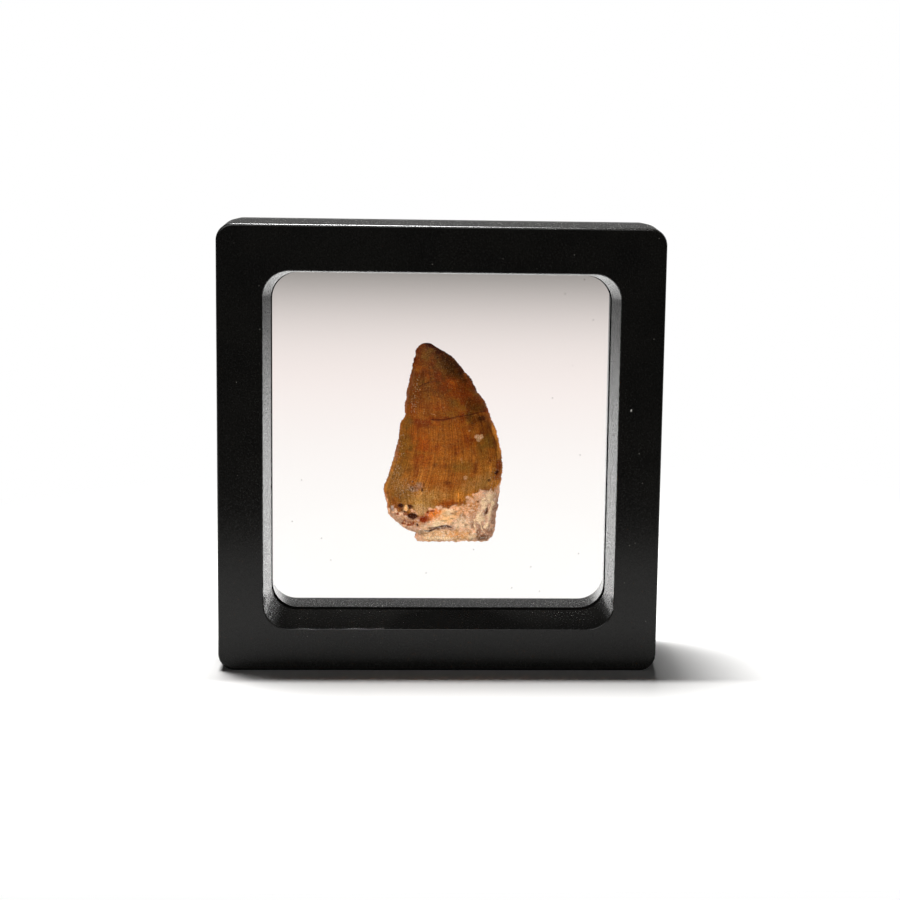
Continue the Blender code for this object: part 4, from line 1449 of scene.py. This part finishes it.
    def root_stains(self, skin: Skin) -> tuple[np.ndarray, np.ndarray]:
        """The colours of the root, under its marks and its pale veins.

        Args:
            skin: The tooth's points.

        Returns:
            The colours, and how even the surface is at each point.
        """
        wear, ragged, small = self.weathering, skin.ragged, skin.small
        colours = skin.plain(Stain.PINK)
        for stain, share in (
            (Stain.GREY_PINK, 0.4 + 0.9 * skin.blotch),
            (Stain.PLUM, 0.9 * small + 0.4 * ragged),
            (Stain.CREAM, 0.6 * ragged - 0.2),
        ):
            colours = skin.mixed(colours, stain, share)
        even = np.zeros(len(skin.height))
        for stain, strength, cover in skin.strewn(wear.root_marks, self.root_edging):
            colours = skin.mixed(colours, stain, strength * cover)
            if stain in wear.even_stains:
                even = np.maximum(even, 0.7 * (strength * cover))
        dents = 1.1 * np.clip(small - 0.3, 0, 1) + 0.7 * np.clip(-ragged - 0.45, 0, 1)
        colours = skin.mixed(colours, Stain.TOBACCO, dents)
        frayed = 0.8 * ragged + 0.8 * small
        for width, line in wear.veins:
            share = ease((1.2 - wear.line_distance(skin.where, line) / width + frayed) * 0.8)
            colours = skin.mixed(colours, Stain.CREAM, 0.95 * share)
            even = np.maximum(even, 0.85 * share)
        return colours, even

    def open_pores(self, skin: Skin, colours: np.ndarray) -> tuple[np.ndarray, np.ndarray]:
        """Adds the pores, the pale island between two of them and the cracks.

        Args:
            skin: The tooth's points.
            colours: The colours without them.

        Returns:
            The colours, and how much of a pore each point is.
        """
        wear = self.weathering
        pore = np.zeros(len(skin.height))
        for stain, _, cover in skin.strewn(wear.pores, self.pore_edging):
            colours = skin.mixed(colours, stain, 0.93 * cover)
            pore = np.maximum(pore, cover)
        island = wear.cover(skin.where, wear.islands[0], skin.ragged * 0.2, 0.4)
        colours = skin.mixed(colours, Stain.BUTTER, island)
        for width, line in wear.cracks:
            share = 0.85 * ease(1.5 - wear.line_distance(skin.tidy, line) / width)
            colours = skin.mixed(colours, Stain.BROWN, share)
        return colours, pore


# ---------------------------------------------------------------- the films


@dataclass
class Film:
    """One clear film: level where it is clamped, and drawn like a tent over its side of the tooth."""

    side: Side
    form: ToothForm
    step: float = 0.0005
    thickness: float = 0.00025
    over_tooth: float = 0.00035
    swell: float = 0.0010
    soften: float = 0.0008
    rounds: int = 700
    pull: float = 1.93
    smooth_below: float = 40.0

    def build(self, finish: bpy.types.Material) -> Piece:
        """Models the film.

        Args:
            finish: The film material.

        Returns:
            The film.
        """
        width, height = (size + 2 * FILM_OVERLAP for size in WINDOW)
        cells = (round(width / self.step), round(height / self.step))
        xs = np.linspace(-width / 2, width / 2, cells[0] + 1)
        zs = np.linspace(-height / 2, height / 2, cells[1] + 1)
        stand_off = self.stretch(xs, zs)
        bpy.ops.object.select_all(action="DESELECT")
        bpy.ops.mesh.primitive_grid_add(
            x_subdivisions=cells[0],
            y_subdivisions=cells[1],
            size=1,
            location=(SHIFT_X, self.side.value * SEAM, MIDDLE_Z),
            rotation=(math.pi / 2, 0, 0),
        )
        bpy.context.object.scale = (width, height, 1)
        film = Bench.settle(bpy.context.object, f"clear_film_{self.side.body}")
        places = Bench.points(film)
        column = np.rint((places[:, 0] - SHIFT_X + width / 2) / width * cells[0]).astype(int)
        row = np.rint((places[:, 2] - MIDDLE_Z + height / 2) / height * cells[1]).astype(int)
        places[:, 1] = self.side.value * (SEAM + stand_off[row, column])
        Bench.move_points(film, places)
        wall = film.modifiers.new("thickness", "SOLIDIFY")
        wall.thickness = self.thickness
        wall.offset = 1.0 if self.side is Side.FRONT else -1.0
        bpy.ops.object.modifier_apply(modifier=wall.name)
        if self.side is Side.BACK:
            bpy.ops.object.mode_set(mode="EDIT")
            bpy.ops.mesh.select_all(action="SELECT")
            bpy.ops.mesh.normals_make_consistent(inside=False)
            bpy.ops.object.mode_set(mode="OBJECT")
        bpy.ops.object.shade_smooth_by_angle(angle=math.radians(self.smooth_below))
        film.data.materials.append(finish)
        return film

    def stretch(self, xs: np.ndarray, zs: np.ndarray) -> np.ndarray:
        """How far the film stands off its clamped level, as a stretched skin that lies on the tooth.

        Args:
            xs: Places of the grid's columns, from the window's middle.
            zs: Places of its rows.

        Returns:
            The height of each grid point.
        """
        x, z = (grid.ravel() for grid in np.meshgrid(xs + SHIFT_X, zs + MIDDLE_Z))
        sign = float(self.side.value)
        left, right = self.form.edges(z)
        on = (z >= self.form.base) & (z <= self.form.tip) & (x >= left) & (x <= right)
        tooth = np.zeros(len(x))
        tooth[on] = sign * self.form.face(x[on], z[on], np.full(on.sum(), sign)) + self.over_tooth - SEAM
        held = self.widen(tooth.reshape(len(zs), len(xs)), self.swell)
        held = np.where(held > 0, self.smooth(held), 0)
        free = (np.abs(xs)[None, :] < WINDOW[0] / 2 - TOUCH) & (np.abs(zs)[:, None] < WINDOW[1] / 2 - TOUCH)
        rows, columns = np.indices(free.shape)
        height = held.copy()
        for _ in range(self.rounds):
            for parity in (0, 1):
                around = np.zeros_like(height)
                around[1:-1, 1:-1] = height[:-2, 1:-1] + height[2:, 1:-1] + height[1:-1, :-2] + height[1:-1, 2:]
                moved = np.maximum(height + self.pull * (around / 4 - height), held)
                height = np.where(free & ((rows + columns) % 2 == parity), moved, height)
        return height

    def widen(self, values: np.ndarray, reach: float) -> np.ndarray:
        """Each value replaced by the largest one within a round reach of it.

        Args:
            values: The values of a grid.
            reach: The reach, in metres.

        Returns:
            The new values.
        """
        cells = int(reach / self.step)
        padded = np.pad(values, cells)
        rows, columns = values.shape
        steps = product(range(2 * cells + 1), repeat=2)
        near = [(i, j) for i, j in steps if math.hypot(i - cells, j - cells) <= cells + 0.5]
        return np.maximum.reduce([padded[i : i + rows, j : j + columns] for i, j in near])

    def smooth(self, values: np.ndarray) -> np.ndarray:
        """The values averaged with their neighbours until steps are gone.

        Args:
            values: The values of a grid.

        Returns:
            The new values.
        """
        for _ in range(round((self.soften / self.step) ** 2 * 2)):
            padded = np.pad(values, 1, mode="edge")
            values = (padded[:-2, 1:-1] + padded[2:, 1:-1] + padded[1:-1, :-2] + padded[1:-1, 2:] + 2 * values) / 6
        return values


# ---------------------------------------------------------------- the frame


@dataclass
class FrameHalf:
    """One moulded half of the frame, with its part of the hinges, the closing pegs and the thumb groove."""

    side: Side
    width: float = 0.0900
    height: float = 0.0916
    corner: float = 0.0034
    face_edge: float = 0.0005
    mating: float = 0.000004
    seam_chamfer: float = 0.0002
    draft: Pair = (0.00012, 0.0003)
    opening: Pair = (0.0716, 0.0732)
    opening_corner: float = 0.0053
    opening_slip: Pair = (0.0001, -0.0004)
    opening_edge: float = 0.0003
    beyond: float = 0.0006
    seat: float = 0.0007
    back_rim: float = 0.00015
    hinge_heights: tuple[float, ...] = (0.0208, 0.0708)
    peg_heights: tuple[float, ...] = (0.0148, 0.0768)
    barrel: float = 0.00088
    barrel_length: float = 0.0040
    barrel_edge: float = 0.00012
    stub: float = 0.0004
    stub_length: float = 0.0030
    peg: float = 0.0010
    peg_length: float = 0.0025
    peg_inset: float = 0.0029
    peg_edge: float = 0.0003
    hinge_offset: float = 0.00027
    groove: float = 0.0014
    groove_depth: float = 0.0008
    groove_length: float = 0.0120
    smooth_below: float = 35.0

    @property
    def hinge_x(self) -> float:
        """The x of the hinge axis."""
        return SHIFT_X - self.width / 2 - self.hinge_offset

    def slab(self, name: str, width: float, height: float, near: float, far: float) -> Piece:
        """A block round the frame's middle between two depths.

        Args:
            name: Name of the piece.
            width: Its width.
            height: Its height.
            near: Its depth nearest the seam.
            far: Its depth nearest the face.

        Returns:
            The block.
        """
        sign = self.side.value
        low_y, high_y = sorted((sign * near, sign * far))
        low = Vector((SHIFT_X - width / 2, low_y, MIDDLE_Z - height / 2))
        high = Vector((SHIFT_X + width / 2, high_y, MIDDLE_Z + height / 2))
        return Bench.box(name, low, high)

    def build(self, finish: bpy.types.Material) -> Piece:
        """Models the half.

        Args:
            finish: The plastic material.

        Returns:
            The half.
        """
        half = self.slab(f"display_frame_{self.side.body}", self.width, self.height, self.mating, HALF_DEPTH)
        Bench.round_edges(half, self.corner, 16, Bench.running(HALF_DEPTH / 2))
        self.lean_sides(half)
        sign = self.side.value
        Bench.round_edges(half, self.face_edge, 5, Bench.lying(sign * HALF_DEPTH))
        Bench.round_edges(half, self.seam_chamfer, 2, Bench.lying(sign * self.mating))
        self.cut_opening(half)
        for height in self.hinge_heights:
            self.add_hinge(half, height)
        for height in self.peg_heights:
            self.add_peg(half, height)
        self.cut_thumb_groove(half)
        self.finish_surface(half)
        half.data.materials.append(finish)
        return half

    def lean_sides(self, half: Piece) -> None:
        """Leans the two sides and the top in towards the face, as they are drawn from their mould.

        Args:
            half: The half.
        """
        for vertex in half.data.vertices:
            if abs(vertex.co.y) > HALF_DEPTH / 2:
                vertex.co.x -= (vertex.co.x - SHIFT_X) * 2 * self.draft[0] / self.width
                vertex.co.z -= max(vertex.co.z - MIDDLE_Z, 0) * 2 * self.draft[1] / self.height

    def cut_opening(self, half: Piece) -> None:
        """Cuts the tapered opening, a little off the middle at the seam, and the seat of the film.

        Args:
            half: The half.
        """
        rim = self.back_rim if self.side is Side.BACK else 0.0
        window = [size - 2 * rim for size in WINDOW]
        wider = [(outer - inner) / (HALF_DEPTH - self.seat) for outer, inner in zip(self.opening, window)]
        cutter = self.slab("opening", 1, 1, self.seat - self.beyond, HALF_DEPTH + self.beyond)
        for vertex in cutter.data.vertices:
            depth = abs(vertex.co.y)
            slipped = 1 - depth / HALF_DEPTH if self.side is Side.BACK else 1
            for axis, middle in ((0, SHIFT_X), (2, MIDDLE_Z)):
                size = window[axis // 2] + wider[axis // 2] * (depth - self.seat)
                slip = self.opening_slip[axis // 2] * slipped
                vertex.co[axis] = middle + (vertex.co[axis] - middle) * size + slip
        Bench.round_edges(cutter, self.opening_corner, 14, Bench.running(HALF_DEPTH / 2))
        Bench.combine(half, cutter, Work.CUT)
        reach = [size / 2 + MM for size in self.opening]
        flat = Bench.lying(self.side.value * HALF_DEPTH)

        def on_lip(a: Vector, b: Vector) -> bool:
            """Whether an edge runs along the opening's mouth."""
            inside = all(abs(end.x - SHIFT_X) < reach[0] and abs(end.z - MIDDLE_Z) < reach[1] for end in (a, b))
            return inside and flat(a, b)

        Bench.round_edges(half, self.opening_edge, 4, on_lip)
        seat_size = [size + 2 * (FILM_OVERLAP + GAP) for size in WINDOW]
        seat = self.slab("seat", *seat_size, -MM, self.seat)
        Bench.round_edges(seat, GAP, 3, Bench.running(MM / 2))
        Bench.combine(half, seat, Work.CUT)

    def add_hinge(self, half: Piece, height: float) -> None:
        """Adds this half's part of one hinge.

        Args:
            half: The half.
            height: Height of the hinge's middle.
        """
        axis = Vector((self.hinge_x, 0, height))
        step = Vector((0, 0, self.barrel_length + GAP))
        room = self.barrel + GAP
        pocket_length = self.barrel_length + 2 * GAP
        if self.side is Side.FRONT:
            for middle in (axis - step, axis + step):
                Bench.combine(half, Bench.bar("pocket", room, middle, pocket_length), Work.CUT)
            self.join_barrel(half, axis)
            stubs = Bench.bar("stubs", self.stub, axis, self.barrel_length + 2 * self.stub_length)
            Bench.combine(half, stubs, Work.JOIN)
        else:
            for middle in (axis - step, axis + step):
                self.join_barrel(half, middle)
                Bench.combine(half, Bench.bar("bore", self.stub + GAP, middle, pocket_length), Work.CUT)
            Bench.combine(half, Bench.bar("pocket", room, axis, pocket_length), Work.CUT)

    def join_barrel(self, half: Piece, middle: Vector) -> None:
        """Joins one hinge barrel, its rims slightly rounded, to the half.

        Args:
            half: The half.
            middle: The barrel's middle.
        """
        barrel = Bench.bar("barrel", self.barrel, middle, self.barrel_length)

        def on_rim(a: Vector, b: Vector) -> bool:
            """Whether an edge runs round one of the barrel's ends."""
            return abs(a.z - b.z) < TOUCH and abs(abs(a.z - middle.z) - self.barrel_length / 2) < TOUCH

        Bench.round_edges(barrel, self.barrel_edge, 3, on_rim)
        Bench.combine(half, barrel, Work.JOIN)

    def add_peg(self, half: Piece, height: float) -> None:
        """Adds a closing peg to the back half, or its socket to the front half.

        Args:
            half: The half.
            height: Height of the peg's middle.
        """
        x = SHIFT_X + self.width / 2 - self.peg_inset
        if self.side is Side.BACK:
            reach = SEAM + self.peg_length
            peg = Bench.bar("peg", self.peg, Vector((x, 0, height)), 2 * reach, upright=False)
            Bench.round_edges(peg, self.peg_edge, 4, Bench.lying(-reach))
            Bench.combine(half, peg, Work.JOIN)
        else:
            deep = SEAM + self.peg_length + GAP
            middle = Vector((x, (MM - deep) / 2, height))
            socket = Bench.bar("socket", self.peg + GAP, middle, deep + MM, upright=False)
            Bench.combine(half, socket, Work.CUT)

    def cut_thumb_groove(self, half: Piece) -> None:
        """Cuts this half's part of the thumb groove at the right of the seam.

        Args:
            half: The half.
        """
        x = SHIFT_X + self.width / 2 + self.groove - self.groove_depth
        cutter = Bench.bar("groove", self.groove, Vector((x, 0, MIDDLE_Z)), self.groove_length)
        Bench.combine(half, cutter, Work.CUT)

    def finish_surface(self, half: Piece) -> None:
        """Merges what the cuts left double and gives the flats and the roundings their own shading.

        Args:
            half: The half.
        """
        Bench.only(half)
        bpy.ops.object.mode_set(mode="EDIT")
        bpy.ops.mesh.select_all(action="SELECT")
        bpy.ops.mesh.remove_doubles(threshold=TOUCH)
        bpy.ops.mesh.quads_convert_to_tris()
        bpy.ops.object.mode_set(mode="OBJECT")
        bpy.ops.object.shade_smooth_by_angle(angle=math.radians(self.smooth_below))
        even = half.modifiers.new("even shading", "WEIGHTED_NORMAL")
        even.keep_sharp = True
        bpy.ops.object.modifier_apply(modifier=even.name)


# ---------------------------------------------------------------- the studio


@dataclass(frozen=True)
class Studio:
    """A white table in plain soft light, and the camera."""

    table_low: Pair = (-1.5, -0.108)
    table_high: Pair = (1.5, 2.5)
    white_round: Triple = (0.03, -0.02, 0.0)
    white_from: Pair = (0.09, 0.22)
    paper: Triple = (0.88, 0.875, 0.865)
    near_shade: Triple = (1.02, 1.01, 0.99)
    pale_shade: Triple = (0.93, 0.85, 0.82)
    far_shade: Triple = (0.26, 0.245, 0.23)
    dim_room: float = 0.02
    key_place: Triple = (-0.028, 0.0195, 0.50)
    key_size: Pair = (0.11, 0.012)
    key_power: float = 1.6
    soft_place: Triple = (-0.060, 0.075, 0.50)
    soft_size: Pair = (0.24, 0.10)
    soft_power: float = 3.9
    fill_place: Triple = (-0.35, -0.80, 0.80)
    fill_size: Pair = (1.2, 0.8)
    fill_power: float = 14.0
    back_place: Triple = (0.95, 0.55, 0.45)
    back_power: float = 10.0
    rim_place: Triple = (-0.036, 0.065, 0.45)
    rim_size: Pair = (0.085, 0.14)
    rim_power: float = 4.0
    camera_place: Triple = (-0.003852 + SHIFT_X, -0.33487, 0.111572)
    camera_turn: Triple = (2.612, 7.482, 0.914)
    lens: float = 65.415
    shift: Pair = (-46.467 / PICTURE, -111.51 / PICTURE)
    sensor: float = 36.0
    nearest: float = 0.01

    def build(self) -> None:
        """Sets up everything round the object."""
        self.lay_table()
        self.light_room()
        for name, place, size, power in (
            ("key", self.key_place, self.key_size, self.key_power),
            ("soft_key", self.soft_place, self.soft_size, self.soft_power),
        ):
            self.add_lamp(name, place, Vector((place[0], place[1], 0.0)), size, power)
        self.place_camera()
        bpy.context.scene.view_settings.view_transform = "Standard"

    def lay_table(self) -> None:
        """Lays the table under the object."""
        low, high = Vector((*self.table_low, 0)), Vector((*self.table_high, 0))
        bpy.ops.object.select_all(action="DESELECT")
        bpy.ops.mesh.primitive_plane_add(size=1, location=(low + high) / 2)
        bpy.context.object.scale = (*(high - low).xy, 1)
        table = Bench.settle(bpy.context.object, "studio_table")
        table.data.materials.append(self.table_finish())

    def table_finish(self) -> bpy.types.Material:
        """Matt paper, white away from the object for the camera and shaded towards the back through the films.

        Returns:
            The material.
        """
        material, wiring = new_material("white_table", (0.9, 0.9, 0.9))
        place = wiring.place()
        far = wiring.fit(wiring.vector("DISTANCE", {0: place, 1: self.white_round})["Value"], *self.white_from)
        seen = wiring.times(far, wiring.add("ShaderNodeLightPath").outputs["Is Camera Ray"])
        paper = wiring.add("ShaderNodeBsdfDiffuse", {"Color": self.paper})
        white = wiring.add("ShaderNodeEmission", {"Color": (1, 1, 1), "Strength": 1.0})
        both = wiring.add("ShaderNodeMixShader", {0: seen, 1: paper.outputs[0], 2: white.outputs[0]})
        # Painted shade: an emission that dims towards the back, seen only through the films, in place of the light
        # falling off over the table.
        backward = wiring.add("ShaderNodeSeparateXYZ", {0: place}).outputs["Y"]
        pale = wiring.blend(wiring.fit(backward, 0.02, 0.42), self.near_shade, self.pale_shade)
        shade = wiring.blend(wiring.fit(backward, 0.30, 1.05), pale, self.far_shade)
        faded = wiring.add("ShaderNodeEmission", {"Color": shade, "Strength": 1.0})
        through = wiring.add("ShaderNodeLightPath").outputs["Is Transmission Ray"]
        whole = wiring.add("ShaderNodeMixShader", {0: through, 1: both.outputs[0], 2: faded.outputs[0]})
        wiring.add("ShaderNodeOutputMaterial", {"Surface": whole.outputs[0]})
        return material

    def light_room(self) -> None:
        """A white room for the camera and through the films, and a dim one for everything else."""
        world = bpy.data.worlds.new("studio_room")
        bpy.context.scene.world = world
        world.use_nodes = True
        world.node_tree.nodes.clear()
        wiring = Wiring(world.node_tree)
        way = wiring.add("ShaderNodeTexCoord").outputs["Generated"]
        split = wiring.add("ShaderNodeSeparateXYZ", {0: way})
        low = wiring.fit(split.outputs["Z"], 0.0, 0.35, 0.27, 0.0)
        glow = wiring.times(low, wiring.fit(split.outputs["Y"], 0.1, 0.8))
        glow = wiring.plus(glow, 0.03)
        dim = wiring.blend(wiring.fit(split.outputs["Z"], -0.03, 0.0), (self.dim_room,) * 3, glow)
        path = wiring.add("ShaderNodeLightPath")
        seen = wiring.math("MAXIMUM", path.outputs["Is Camera Ray"], path.outputs["Is Transmission Ray"])
        plain = wiring.blend(seen, dim, (1, 1, 1))
        back = wiring.add("ShaderNodeBackground", {"Color": plain, "Strength": 1.0})
        wiring.add("ShaderNodeOutputWorld", {"Surface": back.outputs[0]})

    def light_pieces(self, tooth: Piece, halves: list[Piece]) -> None:
        """Adds lamps that light some pieces alone: two weak fills, and one for the frame's top and inner walls.

        Args:
            tooth: The tooth.
            halves: The halves of the frame.
        """
        middle = Vector((0, 0, 0.05))
        under = Vector((*self.rim_place[:2], 0.0))
        for name, place, target, size, power, pieces in (
            ("front_fill", self.fill_place, middle, self.fill_size, self.fill_power, [tooth, *halves]),
            ("back_fill", self.back_place, middle, self.fill_size, self.back_power, [tooth, *halves]),
            ("rim_lamp", self.rim_place, under, self.rim_size, self.rim_power, halves),
        ):
            lit = bpy.data.collections.new(f"lit_by_{name}")
            for piece in pieces:
                lit.objects.link(piece)
            holder = self.add_lamp(name, place, target, size, power)
            holder.light_linking.receiver_collection = lit

    @staticmethod
    def add_lamp(
        name: str, place: Triple, target: Vector, size: Pair, power: float
    ) -> Piece:
        """Adds a soft rectangular lamp.

        Args:
            name: Its name.
            place: Where it hangs.
            target: What it points at.
            size: Its width and height.
            power: Its power in watts.

        Returns:
            The lamp's object.
        """
        lamp = bpy.data.lights.new(name, "AREA")
        lamp.shape = "RECTANGLE"
        lamp.size, lamp.size_y = size
        lamp.energy = power
        holder = bpy.data.objects.new(name, lamp)
        bpy.context.scene.collection.objects.link(holder)
        holder.location = place
        holder.rotation_euler = (target - Vector(place)).to_track_quat("-Z", "Y").to_euler()
        holder.visible_camera = False
        return holder

    def place_camera(self) -> None:
        """Puts the camera where the photograph was taken from."""
        camera = bpy.data.cameras.new("camera")
        camera.sensor_width = self.sensor
        camera.lens = self.lens
        camera.shift_x, camera.shift_y = self.shift
        camera.clip_start = self.nearest
        holder = bpy.data.objects.new("camera", camera)
        bpy.context.scene.collection.objects.link(holder)
        yaw, pitch, roll = (math.radians(angle) for angle in self.camera_turn)
        level = Matrix.Rotation(-yaw, 4, "Z") @ Matrix.Rotation(math.pi / 2 - pitch, 4, "X")
        holder.matrix_world = Matrix.Translation(self.camera_place) @ level @ Matrix.Rotation(roll, 4, "Z")
        bpy.context.scene.camera = holder


def main() -> None:
    """Builds the object piece by piece, then the studio."""
    logging.basicConfig(level=logging.INFO, format="%(message)s")
    studio = Studio()
    studio.build()
    grain, dust = fine_grain_group(), dust_group()
    plastic = BlackPlastic(grain, dust).build()
    clear = ClearFilm(dust).build()
    enamel = FossilEnamel(grain).build()
    form = ToothForm()
    tooth = Tooth(form, Weathering()).build(enamel)
    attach(tooth, "back")
    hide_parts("tooth")
    LOG.info("tooth: %d faces", len(tooth.data.polygons))
    halves = []
    for side in Side:
        film = Film(side, form).build(clear)
        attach(film, side.body)
        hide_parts(f"film_{side.body}")
        LOG.info("%s: %d faces", film.name, len(film.data.polygons))
        half = FrameHalf(side).build(plastic)
        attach(half, side.body)
        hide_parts(f"frame_{side.body}")
        halves.append(half)
        LOG.info("%s: %d faces", half.name, len(half.data.polygons))
    studio.light_pieces(tooth, halves)


if __name__ == "__main__":
    main()
